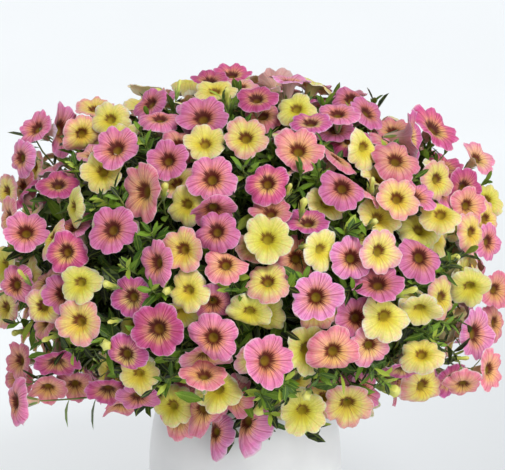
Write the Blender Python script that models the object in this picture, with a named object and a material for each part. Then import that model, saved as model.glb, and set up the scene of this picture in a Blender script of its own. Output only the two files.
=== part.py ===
# Calibrachoa (million bells) growing in its round glazed pot.
# Metres, +Z up. The origin is the centre of the pot's flat foot, and the side that faces a viewer is -Y.
# The plant is a root crown in the soil, leafy shoots that spring from it, and a flower or a bud
# at the end of each twig. Every piece that only touches another keeps SEAT_GAP to it.
import math
import random

import bmesh
import bpy
from mathutils import Vector
from mathutils.bvhtree import BVHTree

SEAT_GAP = 0.0003

POT_HEIGHT = 0.130
POT_FOOT_RADIUS = 0.050
POT_BELLY_RADIUS = 0.073
POT_BELLY_HEIGHT = 0.066
POT_RIM_RADIUS = 0.061
POT_WALL = 0.0045
POT_FLOOR = 0.007
POT_LIP_ROUND = 0.0016
POT_SIDES = 40

SOIL_LEVEL = 0.117
SOIL_CROWN_RISE = 0.004
SOIL_SIDES = 32

CROWN_RADIUS = 0.014
CROWN_MIDDLE = SOIL_LEVEL + 0.010
CROWN_TOP_RISE = 0.012
CROWN_NECK_RADIUS = 0.009
CROWN_ROOT_RADIUS = 0.004
CROWN_ROOT_DEPTH = 0.034
CROWN_SIDES = 16

MOUND_MIDDLE = 0.221
MOUND_RADIUS = 0.180
MOUND_RISE = 0.141
MOUND_DROP = 0.104
MOUND_LOWER_POWER = 2.3
MOUND_LAST_ANGLE = math.radians(-58)
GOLDEN_ANGLE = math.radians(137.508)

SHOOTS = 12
HEADS = 45
BUD_EVERY = 9
LIGHT_PULL = 0.22
LOWEST_NOD = 0.15

# The flowers that face the viewer stand where the photograph has them. Each has its kind and its pixel
# place, across and down, in the photograph's frame. The rest of the mound is shared out by a rule.
FRONT_HEADS = (
    ("rose", 116, 148), ("rose", 203, 117), ("salmon", 299, 150), ("rose", 343, 187), ("salmon", 397, 160),
    ("rose", 212, 178), ("rose", 112, 229), ("yellow", 268, 239), ("rose", 421, 257), ("rose", 317, 297),
    ("two_tone", 79, 322), ("rose", 213, 338), ("salmon", 334, 352), ("yellow", 386, 317),
    ("two_tone", 424, 387), ("salmon", 203, 411), ("yellow", 303, 412), ("magenta", 158, 329),
    ("bud", 165, 290),
)
FRONT_EDGE = -0.030
PHOTO_WIDTH = 505
PHOTO_HEIGHT = 470
# The place that the photograph was taken from, the point in its middle, and its width at 1 m.
VIEW_FROM = Vector((0.0055, -1.467, 0.556))
VIEW_TO = Vector((0.0055, 0.0, 0.244))
VIEW_SPREAD = 0.25

LOBES = 5
FLOWER_RADIUS = 0.0172
NOTCH_SHARE = 0.88
LOBE_LIFT = 0.0012
PETAL_THICKNESS = 0.0008
THROAT_RADIUS = 0.0045
THROAT_DIP = 0.0028
THROAT_DEPTH = 0.011
PEDICEL_RADIUS = 0.0009
PEDICEL_LENGTH = 0.030
# Radius and depth behind the petals of the tube, the calyx and the top of the pedicel.
FLOWER_BACK = ((0.0050, 0.0060), (0.0033, 0.0140), (0.0015, 0.0190))

BUD_LENGTH = 0.013
# Radius and height of a bud from its tip down to its calyx, counted from the calyx.
BUD_OUTLINE = ((0.0010, BUD_LENGTH), (0.0026, 0.0080), (0.0022, 0.0030), (0.0028, 0.0), (0.0012, -0.0060))

SHOOT_RADIUS = 0.0021
SHOOT_BASE_SHARE = 1.25
SHOOT_TAPER = 0.55
SHOOT_SIDES = 5
HUB_DEPTH = 0.80
START_PULL = 0.52
END_PULL = 0.30
FIRST_JOINT = 0.17
JOINT_STRETCH = 0.78
TWIG_RADIUS = 0.0011
TWIG_SIDES = 4
TWIG_PULL = 0.35
TWIG_SPREAD = 0.6
TWIG_LEAF_PLACES = (0.36, 0.68)
LEAF_LENGTH = 0.026
LEAF_HALF_WIDTH = 0.0042
LEAF_HALF_THICKNESS = 0.0003
LEAF_CLEARANCE = 0.0012
# Place along a leaf, share of its width, and droop as a share of its length: widest place, then tip.
LEAF_OUTLINE = ((0.45, 1.0, 0.02), (1.0, 0.14, 0.14))
LEAF_FORWARD = 0.55
LEAF_RISE = 0.25

# One word for each flower down the mound, from the top: the pot holds five colours mixed.
VARIETIES = (
    "rose", "yellow", "salmon", "rose", "two_tone",
    "magenta", "rose", "yellow", "two_tone", "salmon",
)

# Base colour in linear RGB, then roughness.
FINISHES = {
    "pot": ((0.80, 0.80, 0.79), 0.35),
    "soil": ((0.045, 0.030, 0.020), 0.95),
    "stem": ((0.16, 0.28, 0.06), 0.60),
    "bud": ((0.55, 0.60, 0.10), 0.50),
    "rose": ((0.78, 0.24, 0.50), 0.50),
    "magenta": ((0.62, 0.11, 0.35), 0.50),
    "salmon": ((0.84, 0.36, 0.28), 0.50),
    "two_tone": ((0.86, 0.62, 0.30), 0.50),
    "yellow": ((0.86, 0.77, 0.22), 0.50),
}


def clear_scene():
    for obj in list(bpy.data.objects):
        bpy.data.objects.remove(obj, do_unlink=True)


def finish(name):
    """The material of one kind of piece, made once."""
    material = bpy.data.materials.get(name)
    if material is None:
        colour, roughness = FINISHES[name]
        material = bpy.data.materials.new(name)
        material.use_nodes = True
        shader = material.node_tree.nodes["Principled BSDF"]
        shader.inputs["Base Color"].default_value = (*colour, 1.0)
        shader.inputs["Roughness"].default_value = roughness
        shader.inputs["Metallic"].default_value = 0.0
    return material


def add_object(name, points, faces, finish_name, smooth=False):
    """A named object from corner points and faces, with its faces turned outwards."""
    mesh = bpy.data.meshes.new(name)
    mesh.from_pydata([tuple(point) for point in points], [], faces)
    work = bmesh.new()
    work.from_mesh(mesh)
    bmesh.ops.recalc_face_normals(work, faces=work.faces)
    work.to_mesh(mesh)
    work.free()
    if smooth:
        mesh.shade_smooth()
        mesh.set_sharp_from_angle(angle=math.radians(40))
    mesh.materials.append(finish(finish_name))
    obj = bpy.data.objects.new(name, mesh)
    bpy.context.scene.collection.objects.link(obj)
    return obj


def turned(profile, sides):
    """Points and faces of a solid turned about Z. The profile's ends are on the axis."""
    points = [Vector((0.0, 0.0, profile[0][1]))]
    for radius, height in profile[1:-1]:
        for side in range(sides):
            angle = 2 * math.pi * side / sides
            points.append(Vector((radius * math.cos(angle), radius * math.sin(angle), height)))
    points.append(Vector((0.0, 0.0, profile[-1][1])))
    rings = len(profile) - 2
    last = len(points) - 1
    faces = []
    for side in range(sides):
        after = (side + 1) % sides
        faces.append((0, 1 + side, 1 + after))
        for ring in range(rings - 1):
            low = 1 + ring * sides
            high = low + sides
            faces.append((low + side, high + side, high + after, low + after))
        top = 1 + (rings - 1) * sides
        faces.append((top + side, last, top + after))
    return points, faces


def pot_radius(height):
    """Outer radius of the pot: one oval below the belly and another above it."""
    if height < POT_BELLY_HEIGHT:
        share = (POT_BELLY_HEIGHT - height) / POT_BELLY_HEIGHT
        end = POT_FOOT_RADIUS
    else:
        share = (height - POT_BELLY_HEIGHT) / (POT_HEIGHT - POT_BELLY_HEIGHT)
        end = POT_RIM_RADIUS
    return math.sqrt(POT_BELLY_RADIUS**2 - (POT_BELLY_RADIUS**2 - end**2) * share**2)


def spaced(start, end, count):
    return [start + (end - start) * step / count for step in range(count + 1)]


def make_pot():
    lip = POT_HEIGHT - POT_LIP_ROUND
    outer = [(pot_radius(height), height) for height in spaced(0.0, lip, 9)]
    inner = [(pot_radius(height) - POT_WALL, height) for height in spaced(lip, POT_FLOOR, 6)]
    mouth = [
        (POT_RIM_RADIUS - POT_LIP_ROUND, POT_HEIGHT),
        (POT_RIM_RADIUS - POT_WALL + POT_LIP_ROUND, POT_HEIGHT),
    ]
    profile = [(0.0, 0.0)] + outer + mouth + inner + [(0.0, POT_FLOOR)]
    points, faces = turned(profile, POT_SIDES)
    return add_object("pot", points, faces, "pot", smooth=True)


def crown_profile():
    """The root crown: a tapering root in the soil and a knobbly dome above it."""
    bottom = SOIL_LEVEL - CROWN_ROOT_DEPTH
    dome = []
    for step in range(5):
        angle = math.radians(80) * step / 4
        dome.append(
            (CROWN_RADIUS * math.cos(angle), CROWN_MIDDLE + CROWN_TOP_RISE * math.sin(angle))
        )
    root = [(CROWN_ROOT_RADIUS, bottom), (CROWN_NECK_RADIUS, SOIL_LEVEL)]
    return [(0.0, bottom)] + root + dome + [(0.0, CROWN_MIDDLE + CROWN_TOP_RISE)]


def make_soil():
    """The soil fills the pot and leaves a socket for the crown's root."""
    gap = 3 * SEAT_GAP
    bottom = POT_FLOOR + SEAT_GAP
    sides = [(pot_radius(height) - POT_WALL - gap, height) for height in spaced(bottom, SOIL_LEVEL, 5)]
    socket_low = SOIL_LEVEL - CROWN_ROOT_DEPTH - SEAT_GAP
    socket_rim = CROWN_NECK_RADIUS + 2 * SEAT_GAP
    crest = (0.55 * POT_RIM_RADIUS, SOIL_LEVEL + SOIL_CROWN_RISE)
    socket = [(socket_rim, SOIL_LEVEL), (CROWN_ROOT_RADIUS + 2 * SEAT_GAP, socket_low)]
    profile = [(0.0, bottom)] + sides + [crest] + socket + [(0.0, socket_low)]
    points, faces = turned(profile, SOIL_SIDES)
    return add_object("potting_soil", points, faces, "soil")


def make_crown():
    points, faces = turned(crown_profile(), CROWN_SIDES)
    return add_object("root_crown", points, faces, "stem", smooth=True)


def mound_spot(angle):
    """Radius and height of the mound's surface at an angle up or down from its widest level."""
    power = 2.0 if angle >= 0 else MOUND_LOWER_POWER
    rise = MOUND_RISE if angle >= 0 else MOUND_DROP
    radius = MOUND_RADIUS * abs(math.cos(angle)) ** (2 / power)
    height = MOUND_MIDDLE + math.copysign(rise * abs(math.sin(angle)) ** (2 / power), angle)
    return radius, height


def mound_layout(count):
    """Spots that share out the mound's surface evenly, from the top down, each with its normal."""
    steps = 400
    angles = spaced(math.radians(89.9), MOUND_LAST_ANGLE, steps)
    spots = [mound_spot(angle) for angle in angles]
    areas = [0.0]
    for (r0, z0), (r1, z1) in zip(spots, spots[1:]):
        areas.append(areas[-1] + (r0 + r1) / 2 * math.hypot(r1 - r0, z1 - z0))
    placed = []
    for index in range(count):
        wanted = (index + 0.5) / count * areas[-1]
        step = min(range(1, steps), key=lambda i: abs(areas[i] - wanted))
        radius, height = spots[step]
        (r0, z0), (r1, z1) = spots[step - 1], spots[step + 1]
        slope = math.atan2(r0 - r1, z0 - z1)
        turn = index * GOLDEN_ANGLE
        across = Vector((math.cos(turn), math.sin(turn), 0.0))
        spot = across * radius + Vector((0.0, 0.0, height))
        normal = across * math.cos(slope) - Vector((0.0, 0.0, math.sin(slope)))
        placed.append((spot, normal.normalized()))
    return placed


def mound_depth(spot):
    """Below 1 inside the mound, 1 on its surface and above 1 outside."""
    lift = spot.z - MOUND_MIDDLE
    power = 2.0 if lift >= 0 else MOUND_LOWER_POWER
    rise = MOUND_RISE if lift >= 0 else MOUND_DROP
    return (math.hypot(spot.x, spot.y) / MOUND_RADIUS) ** power + (abs(lift) / rise) ** power


def photo_spot(column, row):
    """The spot on the mound that shows at a pixel of the photograph, with its normal."""
    ahead = (VIEW_TO - VIEW_FROM).normalized()
    right = ahead.cross(Vector((0.0, 0.0, 1.0))).normalized()
    upward = right.cross(ahead)
    pixel = VIEW_SPREAD / PHOTO_WIDTH
    ray = ahead + (column - PHOTO_WIDTH / 2) * pixel * right - (row - PHOTO_HEIGHT / 2) * pixel * upward
    middle = (VIEW_TO - VIEW_FROM).length
    step = 0.0005
    places = [VIEW_FROM + ray * reach for reach in spaced(middle - 0.25, middle + 0.05, 600)]
    hits = [place for place in places if mound_depth(place) <= 1]
    spot = hits[0] if hits else min(places, key=mound_depth)
    normal = Vector()
    for axis in range(3):
        shift = Vector()
        shift[axis] = step
        normal[axis] = mound_depth(spot + shift) - mound_depth(spot - shift)
    return spot, normal.normalized()


def facing(normal):
    """A flower turns a little up to the light, so none faces the ground."""
    turned_up = (normal + Vector((0.0, 0.0, LIGHT_PULL))).normalized()
    if turned_up.z < -LOWEST_NOD:
        level = Vector((turned_up.x, turned_up.y, 0.0)).normalized()
        turned_up = (level - Vector((0.0, 0.0, LOWEST_NOD))).normalized()
    return turned_up


def side_axes(direction):
    """Two axes square to a direction."""
    helper = Vector((0.0, 0.0, 1.0)) if abs(direction.z) < 0.9 else Vector((1.0, 0.0, 0.0))
    across = direction.cross(helper).normalized()
    return across, direction.cross(across).normalized()


def ring_round(centre, first, second, radius, sides, phase=0.0):
    ring = []
    for side in range(sides):
        angle = phase + 2 * math.pi * side / sides
        ring.append(centre + radius * (first * math.cos(angle) + second * math.sin(angle)))
    return ring


def petal_rim(spot, direction, spin, depth, inset):
    """The edge of the joined petals: a notch between lobes and two corners on each lobe."""
    first, second = side_axes(direction)
    rim = []
    for lobe in range(LOBES):
        for place, share, lift in ((0.0, NOTCH_SHARE, 0.0), (0.3, 1.0, LOBE_LIFT), (0.7, 1.0, LOBE_LIFT)):
            angle = spin + 2 * math.pi * (lobe + place) / LOBES
            outward = first * math.cos(angle) + second * math.sin(angle)
            rim.append(spot + outward * (FLOWER_RADIUS * share - inset) + direction * (lift - depth))
    return rim


def make_flower(name, spot, direction, spin, finish_name):
    """One flower: five joined petals with a throat, the tube, the calyx and the pedicel."""
    first, second = side_axes(direction)

    def ring(radius, depth):
        return ring_round(spot - direction * depth, first, second, radius, LOBES, spin)

    points = petal_rim(spot, direction, spin, 0.0, 0.0)
    points += ring(THROAT_RADIUS, THROAT_DIP)
    points.append(spot - direction * THROAT_DEPTH)
    points += petal_rim(spot, direction, spin, PETAL_THICKNESS, PETAL_THICKNESS / 2)
    for radius, depth in FLOWER_BACK:
        points += ring(radius, depth)
    points += ring(PEDICEL_RADIUS, PEDICEL_LENGTH)

    rim = 3 * LOBES
    throat, pit, under = rim, rim + LOBES, rim + LOBES + 1
    tube = under + rim
    faces = []
    for lobe in range(LOBES):
        after = (lobe + 1) % LOBES
        edge = [(3 * lobe + step) % rim for step in range(4)]
        here, there = throat + lobe, throat + after
        faces += [(here, edge[0], edge[1]), (here, edge[1], edge[2], there), (there, edge[2], edge[3])]
        faces.append((pit, here, there))
        below = [under + corner for corner in edge]
        here, there = tube + lobe, tube + after
        faces += [(here, below[1], below[0]), (here, there, below[2], below[1])]
        faces.append((there, below[3], below[2]))
        for step in range(3):
            faces.append((edge[step], below[step], below[step + 1], edge[step + 1]))
        for level in range(len(FLOWER_BACK)):
            low, high = tube + level * LOBES, tube + (level + 1) * LOBES
            faces.append((low + lobe, high + lobe, high + after, low + after))
    end = tube + len(FLOWER_BACK) * LOBES
    faces.append(tuple(end + lobe for lobe in range(LOBES)))
    return add_object(name, points, faces, finish_name)


def make_bud(name, spot, direction):
    """One closed bud on its calyx and pedicel."""
    first, second = side_axes(direction)
    stations = BUD_OUTLINE + ((PEDICEL_RADIUS, -PEDICEL_LENGTH),)
    points = []
    for radius, height in stations:
        points += ring_round(spot + direction * height, first, second, radius, LOBES)
    faces = [tuple(range(LOBES))]
    for level in range(len(stations) - 1):
        low, high = level * LOBES, (level + 1) * LOBES
        for side in range(LOBES):
            after = (side + 1) % LOBES
            faces.append((low + side, high + side, high + after, low + after))
    faces.append(tuple((len(stations) - 1) * LOBES + side for side in range(LOBES)))
    return add_object(name, points, faces, "bud")


def bezier(start, pull_start, pull_end, end, share):
    rest = 1 - share
    return (
        start * rest**3
        + pull_start * (3 * rest**2 * share)
        + pull_end * (3 * rest * share**2)
        + end * share**3
    )


def stem_stations(curve, shares):
    """Centres and directions along a Bezier curve, with the first side axis carried along."""
    centres = [bezier(*curve, share) for share in shares]
    directions = []
    for share in shares:
        before = bezier(*curve, max(share - 0.01, 0.0))
        after = bezier(*curve, min(share + 0.01, 1.0))
        directions.append((after - before).normalized())
    return list(zip(centres, directions))


class Growth:
    """The mesh of one shoot. A twig or a leaf grows out of one face of a stem, so all is one body."""

    def __init__(self):
        self.points = []
        self.faces = []

    def add_ring(self, ring):
        start = len(self.points)
        self.points += ring
        return list(range(start, start + len(ring)))

    def middle(self, face):
        return sum((self.points[corner] for corner in face), Vector()) / len(face)

    def normal(self, face):
        corners = [self.points[corner] for corner in face]
        return (corners[1] - corners[0]).cross(corners[3] - corners[0]).normalized()

    def stem(self, first_ring, across, stations, radii, phase, sides):
        """Rings along the stations, closed by an end cap. It returns the side faces, level by level."""
        ring = first_ring
        levels = []
        for (centre, direction), radius in zip(stations, radii):
            across = (across - direction * across.dot(direction)).normalized()
            upward = direction.cross(across)
            new_ring = self.add_ring(ring_round(centre, across, upward, radius, sides, phase))
            if ring:
                level = []
                for side in range(sides):
                    after = (side + 1) % sides
                    level.append((ring[side], ring[after], new_ring[after], new_ring[side]))
                levels.append(level)
                self.faces += level
            else:
                self.faces.append(tuple(reversed(new_ring)))
            ring = new_ring
        self.faces.append(tuple(ring))
        return levels

    def twig(self, face, curve, shares, radius):
        """A square twig out of a side face, along a curve that starts at the face's middle."""
        self.faces.remove(face)
        across = self.points[face[1]] - self.points[face[0]]
        stations = stem_stations(curve, shares)
        corner_radii = [radius * math.sqrt(2)] * len(stations)
        return self.stem(list(face), across, stations, corner_radii, math.radians(-135), TWIG_SIDES)

    def leaf_rings(self, face, direction, length, half_width):
        """Rings of four points for a leaf: its widest place and its tip, which droops a little."""
        across = self.points[face[1]] - self.points[face[0]]
        across = (across - direction * across.dot(direction)).normalized()
        upward = direction.cross(across)
        start = self.middle(face)
        rings = []
        for share, width, droop in LEAF_OUTLINE:
            centre = start + direction * (length * share) - upward * (length * droop)
            wide = across * (half_width * width)
            thick = upward * LEAF_HALF_THICKNESS
            rings.append([centre - wide - thick, centre + wide - thick])
            rings[-1] += [centre + wide + thick, centre - wide + thick]
        return rings

    def leaf(self, face, rings):
        self.faces.remove(face)
        before = list(face)
        for ring in rings:
            after = self.add_ring(ring)
            for side in range(4):
                beyond = (side + 1) % 4
                self.faces.append((before[side], before[beyond], after[beyond], after[side]))
            before = after
        self.faces.append(tuple(before))


def solid_tree(points, faces):
    return BVHTree.FromPolygons([tuple(point) for point in points], [list(face) for face in faces])


def leaf_shell(rings):
    """A fat shell round a leaf's blade, to test that the leaf stays clear of everything."""
    points = []
    for ring in rings:
        centre = sum(ring, Vector()) / 4
        wide = (ring[1] - ring[0]) / 2
        wide += wide.normalized() * LEAF_CLEARANCE
        thick = (ring[3] - ring[0]).normalized() * LEAF_CLEARANCE
        points += [centre - wide - thick, centre + wide - thick, centre + wide + thick]
        points.append(centre - wide + thick)
    faces = []
    for level in range(len(rings) - 1):
        for side in range(4):
            beyond = (side + 1) % 4
            low, high = 4 * level, 4 * level + 4
            faces.append((low + side, low + beyond, high + beyond, high + side))
    faces += [(3, 2, 1, 0), tuple(len(points) - 4 + side for side in range(4))]
    return solid_tree(points, faces)


def tree_of(obj):
    return solid_tree(
        [vertex.co for vertex in obj.data.vertices],
        [polygon.vertices for polygon in obj.data.polygons],
    )


def nearest_index(place, choices):
    return min(range(len(choices)), key=lambda index: (choices[index] - place).length)


def crown_headings():
    """The way each shoot leaves the crown's dome, in the same order round as the mound's parts."""
    lowest, steepest = 0.33, 0.95
    headings = []
    for index in range(SHOOTS):
        rise = steepest - (steepest - lowest) * index / (SHOOTS - 1)
        turn = index * GOLDEN_ANGLE
        level = math.sqrt(1 - rise**2)
        headings.append(Vector((level * math.cos(turn), level * math.sin(turn), rise)))
    return headings


def grow_leaves(growth, places, others, chance):
    """Leaves on the free faces of each place, as many as asked, where nothing else is in their way."""
    own = [solid_tree(growth.points, growth.faces)]
    for group, scale, most in places:
        free = [face for face in group if face in growth.faces]
        chance.shuffle(free)
        grown = 0
        for face in free:
            if grown == most:
                break
            along = (growth.points[face[3]] - growth.points[face[0]]).normalized()
            direction = (growth.normal(face) + along * LEAF_FORWARD).normalized()
            direction = (direction + Vector((0.0, 0.0, LEAF_RISE))).normalized()
            length = LEAF_LENGTH * scale * chance.uniform(0.85, 1.1)
            rings = growth.leaf_rings(face, direction, length, LEAF_HALF_WIDTH * scale)
            shell = leaf_shell(rings)
            if any(shell.overlap(other) for other in others + own):
                continue
            growth.leaf(face, rings)
            own.append(shell)
            grown += 1


def grow_stems(start, heading, hub, ends):
    """A stem from the crown to the hub and a twig to each flower or bud, with the places for leaves."""
    growth = Growth()
    reach = (hub - start).length
    outward = (hub - Vector((0.0, 0.0, SOIL_LEVEL + MOUND_DROP / 2))).normalized()
    curve = (start, start + heading * reach * START_PULL, hub - outward * reach * END_PULL, hub)

    # Each joint of the stem is a short stretch, as long as the stem is thick, for twigs and leaves.
    half_joint = SHOOT_RADIUS * 1.1 / reach
    spacing = JOINT_STRETCH / (len(ends) + 1)
    shares = [0.0, FIRST_JOINT / 2]
    for step in range(len(ends) + 2):
        middle = FIRST_JOINT + spacing * step
        shares += [middle - half_joint, middle + half_joint]
    shares.append(1.0)
    radii = [SHOOT_RADIUS * (SHOOT_BASE_SHARE - SHOOT_TAPER * share) for share in shares]
    stations = stem_stations(curve, shares)
    across, _ = side_axes(stations[0][1])
    levels = growth.stem([], across, stations, radii, 0.0, SHOOT_SIDES)
    joints = levels[2::2]

    leaf_places = []
    ends = sorted(ends, key=lambda end: end[0].dot(outward))
    twig_joints = joints[-len(ends):]
    for level, (place, direction) in zip(twig_joints, ends):
        wanted = (place - growth.middle(level[0])).normalized()
        face = max(level, key=lambda item: growth.normal(item).dot(wanted))
        base = growth.middle(face)
        run = (place - base).length
        leave = (growth.normal(face) * TWIG_SPREAD + (place - base).normalized()).normalized()
        bend = run * TWIG_PULL
        twig_curve = (base, base + leave * bend, place - direction * bend, place)
        half = 1.4 * TWIG_RADIUS / run
        twig_shares = [0.10]
        for leaf_place in TWIG_LEAF_PLACES:
            twig_shares += [leaf_place - half, leaf_place + half]
        twig = growth.twig(face, twig_curve, twig_shares + [1.0], TWIG_RADIUS)
        leaf_places += [(twig[2], 0.8, 1), (twig[4], 0.7, 1)]
    for level in joints:
        leaf_places.append((level, 1.0, 1 if level in twig_joints else 2))
    return growth, leaf_places


def place_heads():
    """The kind, the spot and the mound's normal of every flower and bud."""
    heads = []
    buds = 0
    for index, (spot, normal) in enumerate(mound_layout(HEADS)):
        kind = VARIETIES[(index - buds) % len(VARIETIES)]
        if index % BUD_EVERY == BUD_EVERY // 2:
            kind = "bud"
            buds += 1
        if spot.y > FRONT_EDGE:
            heads.append((kind, spot, normal))
    for kind, column, row in FRONT_HEADS:
        heads.append((kind, *photo_spot(column, row)))
    return heads


def make_heads(pieces, heads, chance):
    """A flower or a bud at each head. It returns where each pedicel ends and the way it points."""
    tips = []
    counts = {}
    for kind, spot, normal in heads:
        direction = facing(normal)
        counts[kind] = counts.get(kind, 0) + 1
        if kind == "bud":
            foot = spot - direction * BUD_LENGTH
            pieces.append(make_bud(f"bud_{counts[kind]:02d}", foot, direction))
        else:
            foot = spot
            spin = chance.uniform(0.0, 2 * math.pi)
            name = f"flower_{kind}_{counts[kind]:02d}"
            pieces.append(make_flower(name, foot, direction, spin, kind))
        tips.append((foot - direction * (PEDICEL_LENGTH + SEAT_GAP), direction))
    return tips


def main():
    clear_scene()
    chance = random.Random(11)
    crown = make_crown()
    pieces = [make_pot(), make_soil(), crown]
    heads = place_heads()
    tips = make_heads(pieces, heads, chance)

    part_centres = [spot for spot, _ in mound_layout(SHOOTS)]
    groups = [[] for _ in range(SHOOTS)]
    for (_, spot, _), tip in zip(heads, tips):
        groups[nearest_index(spot, part_centres)].append(tip)

    crown_tree = tree_of(crown)
    crown_middle = Vector((0.0, 0.0, CROWN_MIDDLE))
    inside = Vector((0.0, 0.0, SOIL_LEVEL + MOUND_DROP / 2))
    shoots = []
    for heading, ends in zip(crown_headings(), groups):
        hit, normal, _, _ = crown_tree.ray_cast(crown_middle + heading * POT_HEIGHT, -heading)
        middle = sum((place for place, _ in ends), Vector()) / len(ends)
        hub = inside + (middle - inside) * HUB_DEPTH
        shoots.append(grow_stems(hit + normal * SEAT_GAP, normal, hub, ends))

    piece_trees = [tree_of(piece) for piece in pieces]
    for number, (growth, leaf_places) in enumerate(shoots, start=1):
        others = [solid_tree(other.points, other.faces) for other, _ in shoots if other is not growth]
        grow_leaves(growth, leaf_places, piece_trees + others, chance)
        add_object(f"leafy_shoot_{number:02d}", growth.points, growth.faces, "stem")


main()
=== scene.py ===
import math
import random

import bmesh
import bpy
import numpy as np
from mathutils import Matrix, Quaternion, Vector, noise


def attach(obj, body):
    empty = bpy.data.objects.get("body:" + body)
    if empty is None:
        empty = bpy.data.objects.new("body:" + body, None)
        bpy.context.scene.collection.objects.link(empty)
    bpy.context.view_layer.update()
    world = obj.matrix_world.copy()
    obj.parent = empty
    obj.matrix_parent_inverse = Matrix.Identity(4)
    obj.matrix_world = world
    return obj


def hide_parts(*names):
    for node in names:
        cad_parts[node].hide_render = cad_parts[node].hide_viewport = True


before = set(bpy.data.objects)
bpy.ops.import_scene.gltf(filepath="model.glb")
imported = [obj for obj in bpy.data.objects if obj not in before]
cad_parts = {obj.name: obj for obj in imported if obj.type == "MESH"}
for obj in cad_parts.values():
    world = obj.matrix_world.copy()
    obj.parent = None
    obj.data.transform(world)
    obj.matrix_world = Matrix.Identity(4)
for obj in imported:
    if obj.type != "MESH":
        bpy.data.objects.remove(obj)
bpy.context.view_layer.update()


# The pot: one turned earthenware shell with a closed flat foot, a rounded belly and a soft lip.
# It is dipped in a satin white glaze and fired, so it has a soft shine and a faint unevenness.
POT_HEIGHT, POT_FOOT, POT_BELLY, POT_RIM = 0.130, 0.050, 0.073, 0.061
POT_BELLY_LEVEL, POT_WALL, POT_FLOOR, LIP_ROUND = 0.066, 0.0045, 0.007, 0.0016


def colour(code):
    """Linear colour of an sRGB hex value."""
    channels = [int(code[i:i + 2], 16) / 255 for i in (1, 3, 5)]
    linear = [c / 12.92 if c <= 0.04045 else ((c + 0.055) / 1.055) ** 2.4 for c in channels]
    return (*linear, 1.0)


def add_node(tree, kind, inputs=(), stops=(), **settings):
    """A node with its settings, the stops of its ramp, and a value, socket or node for each input."""
    family = "GeometryNode" if tree.type == "GEOMETRY" else "ShaderNode"
    made = tree.nodes.new(family + kind)
    for name, value in settings.items():
        setattr(made, name, value)
    for index, (place, code) in enumerate(stops):
        stop = made.color_ramp.elements[index] if index < 2 else made.color_ramp.elements.new(place)
        stop.position, stop.color = place, colour(code)
    for key, value in dict(inputs).items():
        if isinstance(value, bpy.types.Node):
            value = next(output for output in value.outputs if output.enabled)
        if isinstance(value, bpy.types.NodeSocket):
            tree.links.new(value, made.inputs[key])
        else:
            made.inputs[key].default_value = value
    return made


def new_finish(name, roughness, **values):
    """A material, its node tree and its shader, with the values that are the same all over."""
    material = bpy.data.materials.new(name)
    material.use_nodes = True
    shader = material.node_tree.nodes["Principled BSDF"]
    shader.inputs["Roughness"].default_value = roughness
    for socket, value in values.items():
        shader.inputs[socket.replace("_", " ")].default_value = value
    return material, material.node_tree, shader


def mottled_finish(name, roughness, patches, stops, relief=None, stretch=None, **values):
    """A finish whose colour drifts in patches, given as their number to a metre and their detail.

    relief is the strength and depth of its bumps, and their own patches where they have them.
    """
    material, tree, shader = new_finish(name, roughness, **values)
    place = add_node(tree, "TexCoord").outputs["Object"]
    if stretch:
        place = add_node(tree, "Mapping", {"Vector": place, "Scale": stretch})
    mottle = add_node(tree, "TexNoise", {"Vector": place, "Scale": patches[0], "Detail": patches[1]})
    tone = add_node(tree, "ValToRGB", {0: mottle}, stops)
    tree.links.new(tone.outputs[0], shader.inputs["Base Color"])
    if relief:
        strength, depth, *own = relief
        if own:
            mottle = add_node(tree, "TexNoise", {"Vector": place, "Scale": own[0], "Detail": own[1]})
        skin = add_node(tree, "Bump", {"Height": mottle, "Strength": strength, "Distance": depth})
        tree.links.new(skin.outputs[0], shader.inputs["Normal"])
    return material


def new_object(name, data):
    """An object in the scene, at the origin, that shows a mesh, a light or a camera."""
    made = bpy.data.objects.new(name, data)
    bpy.context.scene.collection.objects.link(made)
    return made


def new_piece(name, points, faces, finish=None, corner_places=None, sharp=50):
    """A smooth piece from points and faces. corner_places are its UV places, in the faces' order."""
    mesh = bpy.data.meshes.new(name)
    mesh.from_pydata([tuple(p) for p in points], [], faces)
    if corner_places is not None:
        layer = mesh.uv_layers.new(name="OFBake")
        layer.data.foreach_set("uv", np.array(corner_places, np.float32).ravel())
    mesh.shade_smooth()
    mesh.set_sharp_from_angle(angle=math.radians(sharp))
    if finish:
        mesh.materials.append(finish)
    return new_object(name, mesh)


def turned(profile, sides):
    """Points and faces of a closed shape turned about Z. The profile's two ends are on the axis."""
    points = [Vector((0, 0, profile[0][1]))]
    for radius, height in profile[1:-1]:
        for side in range(sides):
            angle = 2 * math.pi * side / sides
            points.append(Vector((radius * math.cos(angle), radius * math.sin(angle), height)))
    points.append(Vector((0, 0, profile[-1][1])))
    rings, last = len(profile) - 2, len(points) - 1
    faces = []
    for side in range(sides):
        after = (side + 1) % sides
        faces.append((0, 1 + after, 1 + side))
        for ring in range(rings - 1):
            low = 1 + ring * sides
            faces.append((low + side, low + after, low + sides + after, low + sides + side))
        top = 1 + (rings - 1) * sides
        faces.append((top + side, top + after, last))
    return points, faces


def pot_radius(height):
    """The pot's outer radius: an arc of an ellipse from the belly down to the foot, and one up to the rim."""
    low = height < POT_BELLY_LEVEL
    reach = POT_BELLY_LEVEL if low else POT_HEIGHT - POT_BELLY_LEVEL
    end = POT_FOOT if low else POT_RIM
    share = (height - POT_BELLY_LEVEL) / reach
    return math.sqrt(POT_BELLY**2 - (POT_BELLY**2 - end**2) * share**2)


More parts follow.
